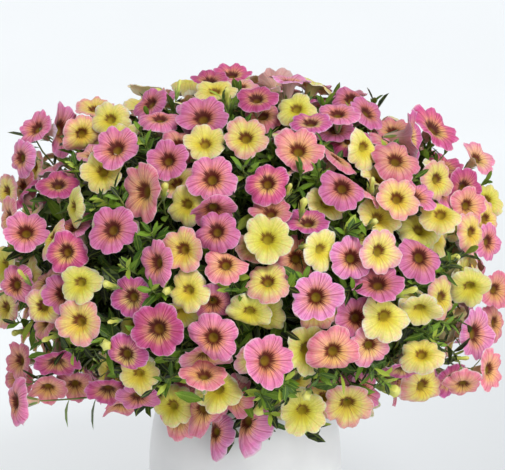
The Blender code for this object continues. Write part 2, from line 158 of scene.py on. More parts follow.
pot_lip = POT_HEIGHT - LIP_ROUND
pot_profile = [(0.0, 0.0), (POT_FOOT - 0.0010, 0.0), (POT_FOOT - 0.0002, 0.0003)]
pot_profile += [(pot_radius(h), h) for h in np.linspace(0.0012, pot_lip, 34)]
for turn in np.linspace(15, 165, 9):
    middle = POT_RIM - POT_WALL / 2
    across, rise = math.cos(math.radians(turn)), math.sin(math.radians(turn))
    pot_profile.append((middle + across * POT_WALL / 2, pot_lip + rise * LIP_ROUND))
pot_profile += [(pot_radius(h) - POT_WALL, h) for h in np.linspace(pot_lip, POT_FLOOR, 14)]
pot_profile.append((0.0, POT_FLOOR))

# Satin white glaze on earthenware: softly shining, cool white, a little thicker and thinner in places.
pot_glaze = mottled_finish(
    "satin_white_glaze", 0.34, (28.0, 3.0), ((0.35, "#F0F0F0"), (0.65, "#F7F7F6")),
    relief=(0.12, 0.0004, 190.0, 2.0), Coat_Weight=0.25, Coat_Roughness=0.2,
)

pot = new_piece("glazed_pot", *turned(pot_profile, 112), pot_glaze, sharp=40)
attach(pot, "root")
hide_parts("pot")


# The potting soil: peat and composted bark, filled in by hand and pressed round the crown, so it
# is lumpy and slightly domed, with loose crumbs of bark and a few white grains of perlite on top.
SOIL_LEVEL, SOIL_RISE, SOIL_GAP = 0.117, 0.004, 0.0008
SLOPE_OUT, SLOPE_IN, LEVEL_OUT, LEVEL_IN = 0.058, 0.034, 0.056, 0.052
CRUMBS, CRUMB_SHAPES = 420, 3


def ramp_between(low, high, value):
    """A smooth rise from 0 at low to 1 at high."""
    share = min(max((value - low) / (high - low), 0.0), 1.0)
    return share * share * (3 - 2 * share)


def soil_crest(far):
    """How far the pressed soil rises above its rim, at a distance from the middle."""
    return 0.6 * SOIL_RISE * ramp_between(SLOPE_OUT, SLOPE_IN, far)


soil_foot = POT_FLOOR + 0.0003
soil_profile = [(0.0, soil_foot)]
soil_profile += [(pot_radius(h) - POT_WALL - SOIL_GAP, h) for h in np.linspace(soil_foot, SOIL_LEVEL, 8)]
soil_profile += [(r, SOIL_LEVEL) for r in np.linspace(0.0545, 0.002, 30)]
soil_profile.append((0.0, SOIL_LEVEL))
points, faces = turned(soil_profile, 72)
for point in points:
    if point.z > SOIL_LEVEL - 0.0001:
        far = math.hypot(point.x, point.y)
        lumps = 0.0012 * noise.noise(point * 190) + 0.0016 * noise.noise(point * 75)
        point.z += soil_crest(far) + lumps * ramp_between(LEVEL_OUT, LEVEL_IN, far)

# Peat and bark mix: matt dark brown, darker where its bumps sink, with fine crumbs.
soil_finish = mottled_finish(
    "peat_and_bark_mix", 0.95, (420.0, 6.0), ((0.30, "#1E1510"), (0.70, "#4B392B"), (0.52, "#33261C")),
    relief=(0.8, 0.0008),
)

soil = new_piece("soil_fill", points, faces, soil_finish)
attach(soil, "root")
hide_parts("potting_soil")


def new_tree(name, **inputs):
    """A Geometry Nodes tree with named inputs, and the sockets that give them."""
    made = bpy.data.node_groups.new(name, "GeometryNodeTree")
    for label, kind in inputs.items():
        made.interface.new_socket(label, in_out="INPUT", socket_type="NodeSocket" + kind)
    made.interface.new_socket("Piece", in_out="OUTPUT", socket_type="NodeSocketGeometry")
    return made, made.nodes.new("NodeGroupInput").outputs


def end_tree(made, grown_shape, finish):
    """Ends a tree in one plain mesh with its material."""
    plain = add_node(made, "RealizeInstances", {"Geometry": grown_shape})
    painted = add_node(made, "SetMaterial", {"Geometry": plain, "Material": finish})
    end = made.nodes.new("NodeGroupOutput")
    made.links.new(painted.outputs[0], end.inputs["Piece"])
    return made


def copies_tree():
    """Puts one of several shapes on each point, as its turn, size and shape say."""
    made, given = new_tree("copies_on_places", Places="Geometry", Shapes="Collection", Finish="Material")
    turn, size, shape = (
        add_node(made, "InputNamedAttribute", {"Name": name}, data_type=kind)
        for name, kind in (("turn", "FLOAT_VECTOR"), ("size", "FLOAT_VECTOR"), ("shape", "INT"))
    )
    shapes = add_node(
        made, "CollectionInfo",
        {"Collection": given["Shapes"], "Separate Children": True, "Reset Children": True},
    )
    copies = add_node(made, "InstanceOnPoints", {
        "Points": given["Places"], "Instance": shapes, "Pick Instance": True, "Instance Index": shape,
        "Rotation": turn, "Scale": size,
    })
    return end_tree(made, copies, given["Finish"])


def plain_mesh(holder, name):
    """The mesh that an object's modifiers make. The object itself is removed."""
    ready = holder.evaluated_get(bpy.context.evaluated_depsgraph_get())
    mesh = bpy.data.meshes.new_from_object(ready)
    mesh.name = name
    bpy.data.objects.remove(holder)
    return mesh


def grown(name, source, tree, finish, slot, **inputs):
    """The plain piece that a node tree grows from a source mesh."""
    carrier = new_object(name + "_places", source)
    modifier = carrier.modifiers.new("grow", "NODES")
    modifier.node_group = tree
    for item in tree.interface.items_tree:
        if item.in_out == "INPUT" and item.name == "Finish":
            modifier[item.identifier] = finish
        elif item.in_out == "INPUT" and item.name in inputs:
            modifier[item.identifier] = inputs[item.name]
    mesh = plain_mesh(carrier, name)
    for extra in ("turn", "size", "shape", "thick"):
        if extra in mesh.attributes:
            mesh.attributes.remove(mesh.attributes[extra])
    piece = new_object(name, mesh)
    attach(piece, "root")
    return piece


COPIES = copies_tree()


def copies(name, shapes, places, finish, slot):
    """One piece of copies: each place is a spot, a turn, a size along three axes and a shape's number."""
    source = bpy.data.meshes.new(name + "_places")
    source.from_pydata([tuple(spot) for spot, _, _, _ in places], [], [])
    turns = source.attributes.new("turn", "FLOAT_VECTOR", "POINT")
    turns.data.foreach_set("vector", [a for _, turn, _, _ in places for a in turn.to_euler()])
    sizes = source.attributes.new("size", "FLOAT_VECTOR", "POINT")
    sizes.data.foreach_set("vector", [a for _, _, size, _ in places for a in size])
    kinds = source.attributes.new("shape", "INT", "POINT")
    kinds.data.foreach_set("value", [kind for _, _, _, kind in places])
    group = bpy.data.collections.new(name + "_shapes")
    for number, shape in enumerate(shapes):
        shape.name = f"{name}_shape_{number:02d}"
        for home in list(shape.users_collection):
            home.objects.unlink(shape)
        group.objects.link(shape)
    piece = grown(name, source, COPIES, finish, slot, Shapes=group)
    for shape in shapes:
        bpy.data.objects.remove(shape)
    bpy.data.collections.remove(group)
    return piece


chance = random.Random(7)
shapes = []
for number in range(CRUMB_SHAPES):
    work = bmesh.new()
    bmesh.ops.create_icosphere(work, subdivisions=1, radius=1.0)
    for corner in work.verts:
        corner.co *= 0.75 + 0.5 * noise.noise(corner.co * 1.3 + Vector((7.0 * number, 0, 0)))
    mesh = bpy.data.meshes.new("crumb")
    work.to_mesh(mesh)
    work.free()
    shapes.append(bpy.data.objects.new("crumb", mesh))
places = []
for number in range(CRUMBS):
    far, turn = 0.053 * math.sqrt(chance.random()), chance.uniform(0, 2 * math.pi)
    size = chance.uniform(0.0006, 0.0017)
    spot = Vector((far * math.cos(turn), far * math.sin(turn), SOIL_LEVEL + soil_crest(far) + 0.0002))
    tumble = Quaternion(Vector((chance.random(), chance.random(), 1)).normalized(), chance.uniform(0, 6))
    long = chance.uniform(1.0, 1.9)
    places.append((spot, tumble, (size * long, size, size * 0.7), number % CRUMB_SHAPES))

# Bark crumbs and perlite: the same matt browns, with one grain in eight white.
crumb_finish, tree, shader = new_finish("bark_and_perlite_crumbs", 0.9)
place = add_node(tree, "TexCoord").outputs["Object"]
cells = add_node(tree, "TexVoronoi", {"Vector": place, "Scale": 330.0})
grey = add_node(tree, "SeparateColor", {0: cells.outputs["Color"]})
tone = add_node(
    tree, "ValToRGB", {0: grey},
    stops=((0.0, "#2A1D14"), (0.55, "#5A4331"), (0.86, "#6E543C"), (0.88, "#D9D6CC")),
)
tree.links.new(tone.outputs[0], shader.inputs["Base Color"])
copies("soil_crumbs", shapes, places, crumb_finish, "potting_mix")


# The root crown: the short woody trunk that every shoot springs from, half in the soil.
# It grew there: ribbed brown-green bark over hard wood, knobbly where old shoots left it.
CROWN_RADIUS, CROWN_LEVEL, CROWN_RISE = 0.014, SOIL_LEVEL + 0.010, 0.012
crown_profile = [(0.0, SOIL_LEVEL - 0.034), (0.004, SOIL_LEVEL - 0.034), (0.009, SOIL_LEVEL)]
for turn in np.linspace(-30, 84, 12):
    across, rise = math.cos(math.radians(turn)), math.sin(math.radians(turn))
    crown_profile.append((CROWN_RADIUS * across, CROWN_LEVEL + CROWN_RISE * rise))
crown_profile.append((0.0, CROWN_LEVEL + CROWN_RISE))
points, faces = turned(crown_profile, 36)
for point in points:
    if point.z > SOIL_LEVEL:
        outward = Vector((point.x, point.y, 0))
        point += outward * (0.10 * noise.noise(point * 260) + 0.06 * noise.noise(point * 90))

# Bark of a soft woody stem: dry brown ridges along it with green still in the hollows.
bark = mottled_finish(
    "young_bark", 0.85, (1.0, 4.0), ((0.35, "#5B6233"), (0.65, "#7A5B3B")), relief=(0.6, 0.0006),
    stretch=(900.0, 900.0, 170.0),
)

crown = new_piece("woody_root_crown", points, faces, bark)
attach(crown, "root")
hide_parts("root_crown")


# The main shoots: twelve soft green stems with their twigs and first leaves, each grown as one.
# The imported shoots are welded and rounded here, and stay exactly where they are.
WELD = 0.000004
work = bmesh.new()
shoot_nodes = sorted(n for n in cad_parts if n.startswith("leafy_shoot_"))
for name in shoot_nodes:
    work.from_mesh(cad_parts[name].data)
bmesh.ops.remove_doubles(work, verts=work.verts, dist=WELD)
mesh = bpy.data.meshes.new("main_shoots_rough")
work.to_mesh(mesh)
work.free()
rough = new_object("main_shoots_rough", mesh)
rounding = rough.modifiers.new("round", "SUBSURF")
rounding.levels = rounding.render_levels = 1
mesh = plain_mesh(rough, "main_shoots")
mesh.shade_smooth()
mesh.materials.clear()

# Soft green stem and leaf: matt, finely hairy, mid green that varies from stem to stem.
shoot_green = mottled_finish(
    "soft_green_shoot", 0.6, (45.0, 5.0), ((0.30, "#182B06"), (0.72, "#5F8020"), (0.50, "#35540F")),
    Sheen_Weight=0.05,
)
mesh.materials.append(shoot_green)
shoots = new_object("main_shoots", mesh)
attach(shoots, "root")
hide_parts(*shoot_nodes)


# Where the flowers stand. The mound is a rounded dome with a tucked-in underside, and each flower
# sits on it and turns a little up to the light. The side that the photograph shows is read from it.
MOUND_LEVEL, MOUND_RADIUS, MOUND_RISE, MOUND_DROP, LOWER_POWER = 0.221, 0.180, 0.141, 0.104, 2.3
GOLDEN, TOPMOST, LOWEST, SLICES = math.radians(137.508), math.radians(89.9), math.radians(-58), 400
PHOTO_WIDE, PHOTO_HIGH = 505, 470
EYE, AIM, SPREAD = Vector((0.0055, -1.467, 0.556)), Vector((0.0055, 0.0, 0.244)), 0.25
SIGHT_BEFORE, SIGHT_STEP, SIGHT_STEPS = 0.25, 0.0005, 601
AHEAD = (AIM - EYE).normalized()
RIGHT = AHEAD.cross(Vector((0, 0, 1))).normalized()
UPWARD = RIGHT.cross(AHEAD)
FLOWER_RADIUS = 0.0172
STALK_LENGTH, TUBE_LENGTH, BUD_LENGTH = 0.030, 0.018, 0.013
DISC_SHARE, RUFFLE, TUBE_MARGIN, NEIGHBOURS = 0.9, 0.0028, 0.003, 0.06
HEADS, BUD_EVERY, SOCKET_DEPTH, VIEWED_SIDE = 45, 9, 0.0012, -0.030

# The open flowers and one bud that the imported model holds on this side: kind and pixel place.
PACKED_FRONT = (
    ("rose", 116, 148), ("rose", 203, 117), ("salmon", 299, 150), ("rose", 343, 187), ("salmon", 397, 160),
    ("rose", 212, 178), ("rose", 112, 229), ("yellow", 268, 239), ("rose", 421, 257), ("rose", 317, 297),
    ("two_tone", 79, 322), ("rose", 213, 338), ("salmon", 334, 352), ("yellow", 386, 317),
    ("two_tone", 424, 387), ("salmon", 203, 411), ("yellow", 303, 412), ("magenta", 158, 329),
    ("bud", 165, 290),
)
LIMP_FLOWER = (203, 411)
TOWARD_VIEWER = 0.7
PACKED_ORDER = (
    "rose", "yellow", "salmon", "rose", "two_tone", "magenta", "rose", "yellow", "two_tone", "salmon",
)
LOWER_ORDER = ("yellow", "two_tone", "salmon", "rose", "two_tone", "yellow", "yellow", "salmon")
LOWER_SHARE = 0.9

# The other flowers of that side, by kind: pixel place, width and height, and the way it faces
# where that isn't simply out of the mound. A back shows its underside.
FRONT_FLOWERS = {
    "rose": (
        (268, 361, 46, 55, ""), (378, 283, 50, 38, ""), (156, 263, 34, 50, ""), (26, 232, 45, 40, ""),
        (217, 231, 42, 42, ""), (244, 421, 40, 66, "limp"), (62, 130, 28, 55, "right"),
        (352, 258, 42, 45, ""), (20, 158, 28, 40, "left"), (160, 118, 38, 20, "up"),
        (168, 160, 45, 42, ""), (213, 210, 48, 35, "down"), (476, 334, 36, 54, "right"),
        (213, 303, 33, 28, "down"), (15, 285, 33, 37, "left"), (14, 402, 22, 48, "left"),
        (489, 242, 22, 34, "right"), (150, 103, 20, 30, "left up"), (335, 129, 30, 20, "up"),
        (36, 128, 26, 18, "up left"), (62, 294, 30, 32, "deep left"), (347, 83, 28, 14, "back up"),
        (368, 112, 30, 18, "up right"), (138, 398, 24, 16, "down"), (357, 318, 32, 34, "deep right"),
        (338, 113, 42, 24, "up"), (214, 432, 30, 40, "limp deep"),
    ),
    "magenta": (
        (268, 183, 42, 45, ""), (257, 98, 42, 28, "up"), (58, 184, 40, 26, "up"), (66, 252, 45, 45, ""),
        (57, 363, 45, 27, "down"), (465, 188, 36, 42, "right"), (126, 355, 45, 42, ""),
        (210, 80, 32, 16, "up"), (232, 74, 28, 15, "up"), (308, 222, 36, 22, "up"),
        (435, 128, 54, 30, "up right"), (412, 137, 20, 58, "right"), (403, 370, 38, 16, "down"),
        (450, 381, 32, 22, "down right"), (310, 88, 26, 16, "back up"), (108, 391, 46, 30, "down"),
        (132, 297, 32, 36, "deep"), (311, 122, 34, 18, "up"), (350, 140, 24, 16, "up"),
    ),
    "salmon": (
        (143, 192, 38, 60, ""), (22, 188, 22, 34, "left"), (271, 212, 45, 32, "up"),
        (226, 264, 45, 40, ""), (393, 130, 34, 20, "up"), (19, 361, 27, 43, "left"),
        (8, 218, 20, 45, "left"), (496, 290, 28, 35, "right"), (496, 323, 20, 32, "right"),
        (463, 386, 40, 26, "down"), (490, 370, 18, 27, "right"), (204, 374, 46, 26, "up"),
        (370, 346, 35, 34, ""), (468, 206, 28, 24, "right"), (280, 77, 28, 15, "back up"),
        (121, 407, 34, 14, "down"), (18, 378, 26, 20, "left"), (48, 389, 20, 28, "down"),
        (75, 386, 28, 22, "down"), (478, 158, 28, 18, "up right"), (297, 258, 34, 34, "deep"),
    ),
    "two_tone": (
        (246, 138, 43, 42, ""), (398, 199, 42, 44, ""), (380, 252, 40, 46, ""), (183, 250, 40, 45, ""),
        (268, 281, 42, 36, ""), (43, 307, 43, 42, ""), (33, 167, 25, 40, "left"),
        (438, 180, 28, 38, "right"), (473, 233, 29, 41, "right"), (348, 405, 50, 45, ""),
        (83, 134, 30, 30, "right"), (5, 308, 18, 26, "left"), (443, 298, 28, 40, "deep right"),
        (6, 192, 20, 34, "left"), (95, 108, 28, 16, "up"), (487, 220, 26, 36, "deep right"),
        (324, 399, 30, 32, "deep down"),
    ),
    "yellow": (
        (250, 313, 43, 40, ""), (188, 291, 37, 38, ""), (80, 283, 38, 38, ""), (470, 288, 36, 32, ""),
        (420, 310, 36, 28, ""), (422, 354, 38, 32, "up"), (441, 214, 38, 32, ""), (322, 250, 33, 42, ""),
        (186, 205, 27, 32, ""), (365, 148, 26, 32, ""), (110, 119, 24, 24, ""), (102, 172, 32, 30, ""),
        (72, 207, 18, 43, "left"), (133, 325, 22, 35, "left"), (139, 375, 30, 30, ""),
        (215, 90, 34, 20, "up"), (297, 108, 25, 30, "up"), (205, 143, 30, 24, "up"),
        (487, 200, 24, 22, "up right"), (182, 314, 25, 16, "down"), (345, 308, 27, 24, "right"),
        (172, 406, 30, 28, "left"), (4, 265, 16, 24, "left"), (183, 92, 30, 15, "back up"),
    ),
}
FRONT_BUDS = (
    (20, 272), (15, 333), (47, 339), (110, 285), (110, 322), (107, 345), (165, 187), (290, 186),
    (303, 206), (305, 246), (228, 256), (372, 183), (374, 222), (457, 257), (465, 358), (392, 390),
    (259, 410), (307, 395), (409, 291), (417, 268), (157, 92), (177, 95), (227, 95), (303, 428),
)
# The leafy tips that show between the flowers there, and the darkest hollows.
FRONT_TIPS = (
    (75, 165), (145, 142), (324, 143), (320, 170), (350, 230), (289, 288), (305, 278), (418, 175),
    (455, 325), (436, 341), (493, 222), (72, 353), (280, 392), (230, 290), (117, 112), (270, 416),
    (267, 428), (318, 423), (327, 414), (26, 388), (48, 377), (150, 232), (92, 205), (455, 262), (50, 145),
    (70, 165), (30, 134), (6, 180), (36, 190), (82, 206), (118, 196), (100, 198), (140, 130), (170, 92),
    (222, 96), (206, 150), (270, 135), (242, 165), (302, 172), (318, 86), (305, 102), (375, 100),
    (388, 114), (432, 144), (448, 150), (462, 155), (478, 170), (486, 182), (502, 190), (488, 226),
    (500, 246), (410, 262), (420, 280), (356, 290), (262, 284), (440, 346), (455, 356), (482, 352),
    (500, 342), (376, 370), (386, 385), (320, 380), (286, 386), (262, 400), (75, 374), (40, 342),
    (14, 324), (100, 341), (112, 300), (150, 290), (125, 268), (166, 386), (152, 392), (240, 290),
    (98, 365), (30, 256), (12, 248), (90, 325),
)
FRONT_HOLLOWS = (
    (149, 234), (101, 257), (130, 267), (282, 327), (241, 346), (285, 317), (282, 375), (231, 370),
    (130, 256), (372, 162), (421, 169), (447, 154), (302, 190), (315, 240), (228, 160), (400, 235),
    (352, 372), (392, 345), (95, 345), (170, 372), (36, 195), (85, 178), (150, 132), (460, 320),
    (440, 330), (64, 340), (190, 232), (20, 315), (115, 308), (245, 215), (300, 318), (452, 255),
    (408, 405), (330, 170), (160, 142),
)
PARTLY_HIDDEN, LARGEST = 0.86, 1.14
DEEP, BACK_DROP, HIDDEN_DEPTH = 0.012, 0.009, 0.022
FILL_SPOTS, FILL_SPACING, FILL_EDGE, FILL_BUDS = 370, 0.023, 0.10, 0.10
LOWER_SPOTS, LOWER_SPACING, LOWER_EDGE, LOWER_CLEAR = 700, 0.0225, 0.05, 17


def mound_spot(angle):
    """The mound's radius and height at an angle above or below its widest level."""
    power, rise = (2.0, MOUND_RISE) if angle >= 0 else (LOWER_POWER, MOUND_DROP)
    radius = MOUND_RADIUS * abs(math.cos(angle)) ** (2 / power)
    return radius, MOUND_LEVEL + math.copysign(rise * abs(math.sin(angle)) ** (2 / power), angle)


def mound_layout(count, phase=0.0):
    """Spots that share out the mound's surface evenly, from the top down, each with its normal."""
    spots = [mound_spot(TOPMOST + (LOWEST - TOPMOST) * step / SLICES) for step in range(SLICES + 1)]
    areas = [0.0]
    for (r0, z0), (r1, z1) in zip(spots, spots[1:]):
        areas.append(areas[-1] + (r0 + r1) / 2 * math.hypot(r1 - r0, z1 - z0))
    placed = []
    for index in range(count):
        wanted = (index + 0.5) / count * areas[-1]
        step = min(range(1, SLICES), key=lambda i: abs(areas[i] - wanted))
        (r0, z0), (r1, z1) = spots[step - 1], spots[step + 1]
        slope, turn = math.atan2(r0 - r1, z0 - z1), index * GOLDEN + phase
        across = Vector((math.cos(turn), math.sin(turn), 0))
        spot = across * spots[step][0] + Vector((0, 0, spots[step][1]))
        normal = across * math.cos(slope) - Vector((0, 0, math.sin(slope)))
        placed.append((spot, normal.normalized()))
    return placed


def mound_depth(spot):
    """Below 1 inside the mound, 1 on its surface and above 1 outside."""
    lift = spot.z - MOUND_LEVEL
    power, rise = (2.0, MOUND_RISE) if lift >= 0 else (LOWER_POWER, MOUND_DROP)
    return (math.hypot(spot.x, spot.y) / MOUND_RADIUS) ** power + (abs(lift) / rise) ** power


def photo_spot(column, row):
    """The spot on the mound that shows at a pixel, the mound's normal there and the line of sight."""
    pixel = SPREAD / PHOTO_WIDE
    sight = AHEAD + (column - PHOTO_WIDE / 2) * pixel * RIGHT - (row - PHOTO_HIGH / 2) * pixel * UPWARD
    middle = (AIM - EYE).length
    places = [EYE + sight * (middle - SIGHT_BEFORE + SIGHT_STEP * step) for step in range(SIGHT_STEPS)]
    hits = [place for place in places if mound_depth(place) <= 1]
    spot = hits[0] if hits else min(places, key=mound_depth)
    normal = Vector()
    for axis in range(3):
        shift = Vector()
        shift[axis] = SIGHT_STEP
        normal[axis] = mound_depth(spot + shift) - mound_depth(spot - shift)
    return spot, normal.normalized(), sight


def picture_place(spot):
    """The pixel at which a spot shows."""
    away = spot - EYE
    scale = PHOTO_WIDE / (SPREAD * away.dot(AHEAD))
    return PHOTO_WIDE / 2 + away.dot(RIGHT) * scale, PHOTO_HIGH / 2 - away.dot(UPWARD) * scale


def facing(normal):
    """A flower turns a little up to the light, so none faces the ground."""
    turned_up = (normal + Vector((0, 0, 0.22))).normalized()
    if turned_up.z < -0.15:
        turned_up = (Vector((turned_up.x, turned_up.y, 0)).normalized() - Vector((0, 0, 0.15))).normalized()
    return turned_up


def seen_facing(normal, wide, high, words):
    """The way a flower faces, from how narrow it looks and the words for its side."""
    share = min(wide, high) / max(wide, high)
    side = Vector((normal.dot(RIGHT), normal.dot(UPWARD)))
    if any(word in words for word in ("left", "right", "up", "down")):
        side = Vector((("right" in words) - ("left" in words), ("up" in words) - ("down" in words)))
    elif share < 0.9:
        side = Vector((math.copysign(1, side.x), 0)) if wide < high else Vector((0, math.copysign(1, side.y)))
    side = side.normalized() if side.length > 0.01 else Vector((0, 1))
    share = min(max(share, 0.35), 0.93)
    share = -0.16 * share if "back" in words else share
    toward = -AHEAD * share
    return (toward + (RIGHT * side.x + UPWARD * side.y) * math.sqrt(1 - share**2)).normalized()


def crosses(one, other):
    """Whether the rim of one flower's disc cuts the other's disc, or lies on it within its ruffles."""
    for (spot, way, radius), (centre, axis, reach) in ((one, other), (other, one)):
        if (spot - centre).length > radius + reach:
            return False
        first = way.orthogonal().normalized()
        second = way.cross(first)
        turns = [2 * math.pi * step / 12 for step in range(13)]
        rim = [spot + radius * (first * math.cos(t) + second * math.sin(t)) for t in turns]
        heights = [(corner - centre).dot(axis) for corner in rim]
        for a, b, high_a, high_b in zip(rim, rim[1:], heights, heights[1:]):
            if abs(high_a) < RUFFLE and (a - axis * high_a - centre).length < reach:
                return True
            if (high_a < 0) != (high_b < 0):
                meet = a + (b - a) * (high_a / (high_a - high_b))
                if (meet - centre).length < reach:
                    return True
    return False


def stabs(start, end, disc, margin=0.0):
    """Whether the straight line from start to end goes through a flower's disc, or passes its rim closely."""
    centre, axis, reach = disc
    low, high = (start - centre).dot(axis), (end - centre).dot(axis)
    if low * high >= 0:
        return False
    return (start + (end - start) * (low / (low - high)) - centre).length < reach + margin


def tube_of(disc):
    spot, way, _ = disc
    return spot - way * 0.001, spot - way * TUBE_LENGTH


# Each head is its kind, spot, facing and size, the foot of its stalk if it is a packed one, and how
# open it looks.
heads = []


def add_packed(kind, spot, normal, toward, openness):
    """Adds a packed flower or bud, turned towards the viewer by toward on its bent stalk."""
    way = facing(normal)
    spot = spot - way * (BUD_LENGTH if kind == "bud" else 0.0)
    foot = spot - way * (STALK_LENGTH + SOCKET_DEPTH)
    heads.append([kind, spot, (way - AHEAD * toward).normalized(), 1.0, foot, openness])


buds = 0
for index, (spot, normal) in enumerate(mound_layout(HEADS)):
    kind = PACKED_ORDER[(index - buds) % len(PACKED_ORDER)]
    if index % BUD_EVERY == BUD_EVERY // 2:
        kind, buds = "bud", buds + 1
    if spot.y > VIEWED_SIDE:
        add_packed(kind, spot, normal, 0.0, 1.0)
for kind, column, row in PACKED_FRONT:
    spot, normal, _ = photo_spot(column, row)
    limp = (column, row) == LIMP_FLOWER
    add_packed(kind, spot, normal, 0.0 if limp or kind == "bud" else TOWARD_VIEWER, -1.0 if limp else 1.0)

discs = [(spot, way, FLOWER_RADIUS) for kind, spot, way, _, _, _ in heads if kind != "bud"]
chance = random.Random(23)


def settle(kind, spot, way, size, step, tries, openness, sure=True):
    """Adds a flower where its disc is clear of the others, moving it step by step if it isn't."""
    radius = FLOWER_RADIUS * size * DISC_SHARE
    for number in sorted(range(-tries // 3, tries), key=lambda n: n if n >= 0 else -2 * n):
        disc = (spot + step * number, way, radius)
        clear = not any(
            crosses(disc, other) or stabs(*tube_of(disc), other, TUBE_MARGIN)
            or stabs(*tube_of(other), disc, TUBE_MARGIN)
            for other in discs if (other[0] - disc[0]).length < NEIGHBOURS
        )
        if clear:
            break
    if clear or sure:
        discs.append(disc)
        heads.append([kind, disc[0], way, size, None, openness])


front = [
    (max(wide, high), kind, column, row, wide, high, words)
    for kind, seen in FRONT_FLOWERS.items() for column, row, wide, high, words in seen
]
for widest, kind, column, row, wide, high, words in sorted(front, reverse=True):
    spot, normal, sight = photo_spot(column, row)
    if "deep" in words:
        spot = spot + sight * DEEP
    if "back" in words:
        spot = spot - Vector((0, 0, BACK_DROP))
    way = seen_facing(normal, wide, high, words)
    size = widest * SPREAD / PHOTO_WIDE * (spot - EYE).length / (2 * FLOWER_RADIUS)
    # One that shows only in part is full-sized too, and sits further back behind its neighbours.
    hidden = max(PARTLY_HIDDEN - size, 0.0)
    size = min(max(size, PARTLY_HIDDEN), LARGEST)
    openness = -1.0 if "limp" in words else 1.0 if "back" in words else min(wide, high) / widest
    settle(kind, spot + sight * HIDDEN_DEPTH * hidden, way, size, sight * 0.003, 9, openness)


def scattered(way, spread):
    """The way that a flower or tip faces, turned aside by chance."""
    return (way + Vector([chance.gauss(0, spread) for _ in range(3)])).normalized()


def add_bud(spot, way, size):
    """Adds a bud where it goes through no flower, moving it out by up to 9 mm if it does."""
    for number in range(4):
        foot = spot + way * 0.003 * number
        if not any(stabs(foot - way * 0.006, foot + way * BUD_LENGTH * size, disc) for disc in discs):
            heads.append(["bud", foot, way, size, None, 1.0])
            break


for column, row in FRONT_BUDS:
    spot, normal, _ = photo_spot(column, row)
    way = (facing(normal) + Vector([chance.uniform(-0.4, 0.4) for _ in range(3)])).normalized()
    add_bud(spot - way * BUD_LENGTH * 0.6, way, chance.uniform(0.75, 1.1))

for spot, normal in mound_layout(FILL_SPOTS, 0.7):
    way = scattered(facing(normal), 0.28)
    kind = chance.choice(PACKED_ORDER + LOWER_ORDER)
    size = chance.uniform(0.84, 1.10)
    if normal.dot(-AHEAD) > FILL_EDGE or any((spot - disc[0]).length < FILL_SPACING for disc in discs):
        continue
    if chance.random() < FILL_BUDS:
        add_bud(spot - way * BUD_LENGTH, way, chance.uniform(0.75, 1.1))
    else:
        settle(kind, spot - normal * chance.uniform(0, 0.006), way, size, normal * -0.003, 6, 1.0)

# The flowers of the lower layer open further in, wherever the first ones leave room.
for spot, normal in mound_layout(LOWER_SPOTS, 1.9):
    way = scattered(facing(normal), 0.30)
    kind = chance.choice(LOWER_ORDER)
    size = chance.uniform(0.80, 1.0)
    start = spot - normal * chance.uniform(0.006, 0.011)
    crowd = sum((start - disc[0]).length < LOWER_SPACING for disc in discs)
    if normal.dot(-AHEAD) > LOWER_EDGE:
        column, row = picture_place(start)
        hollow = min(math.hypot(column - x, row - y) for x, y in FRONT_HOLLOWS + FRONT_TIPS)
        crowd += 2 if hollow < LOWER_CLEAR else 0
    if crowd < 2 and chance.random() < LOWER_SHARE:
        settle(kind, start, way, size, normal * -0.002, 9, 1.0, sure=False)


# The fine branches: thin green side stems that divide again and again between the crown and
# the flowers, with a stalk to each flower. All are live growth, and each ends in what it carries.
BRANCHES, TIPS, TWIG_TRIES = 36, 250, 8
BRANCH_RADIUS, BRANCH_TAPER, TWIG_RADIUS, TWIG_TAPER = 0.0019, 0.0008, 0.00105, 0.0005
BUD_STEM, THROAT_SHARE = 0.005, 0.62
INSIDE = Vector((0, 0, SOIL_LEVEL + MOUND_DROP / 2))


def bezier(curve, share):
    """The spot at a share of the way along a curve of four points."""
    start, pull_start, pull_end, end = curve
    rest = 1 - share
    return (
        start * rest**3 + pull_start * (3 * rest**2 * share)
        + pull_end * (3 * rest * share**2) + end * share**3
    )


def heading_at(curve, share):
    """The way a curve runs at a share of its length."""
    return (bezier(curve, min(share + 0.02, 1.0)) - bezier(curve, share - 0.04)).normalized()


stems = []
branches = []
for index, (spot, normal) in enumerate(mound_layout(BRANCHES, 0.3)):
    hub = INSIDE + (spot - INSIDE) * 0.70
    rise = 0.95 - 0.65 * index / BRANCHES
    level = Vector((spot.x, spot.y, 0)).normalized() * math.sqrt(1 - rise**2)
    heading = level + Vector((0, 0, rise))
    start = Vector((0, 0, CROWN_LEVEL)) + heading * (CROWN_RADIUS * 0.85)
    reach = (hub - start).length
    outward = (hub - INSIDE).normalized()
    curve = (start, start + heading * reach * 0.5, hub - outward * reach * 0.3, hub)
    branches.append(curve)
    radii = [(s, BRANCH_RADIUS - BRANCH_TAPER * s) for s in np.linspace(0, 1, 10)]
    stems.append([(bezier(curve, s), radius) for s, radius in radii])

disc_spots = np.array([spot for spot, _, _ in discs])
disc_ways = np.array([way for _, way, _ in discs])
disc_sizes = np.array([radius for _, _, radius in discs])


def through_flowers(start, end):
    """How many flowers' discs the straight line from start to end goes through."""
    from_start, from_end = np.array(start) - disc_spots, np.array(end) - disc_spots
    low, high = (from_start * disc_ways).sum(1), (from_end * disc_ways).sum(1)
    share = low / np.where(np.abs(low - high) < 1e-9, 1e-9, low - high)
    meet = from_start + (from_end - from_start) * share[:, None]
    return int(((low * high < 0) & (np.linalg.norm(meet, axis=1) < disc_sizes)).sum())


def in_front(spot, share=1.0):
    """Whether a spot lies on or just in front of a flower's disc, or of that share of it, and hides it."""
    away = np.array(spot) - disc_spots
    height = (away * disc_ways).sum(1)
    sideways = np.linalg.norm(away - disc_ways * height[:, None], axis=1)
    return bool(((height > -0.0015) & (height < 0.05) & (sideways < disc_sizes * share)).any())


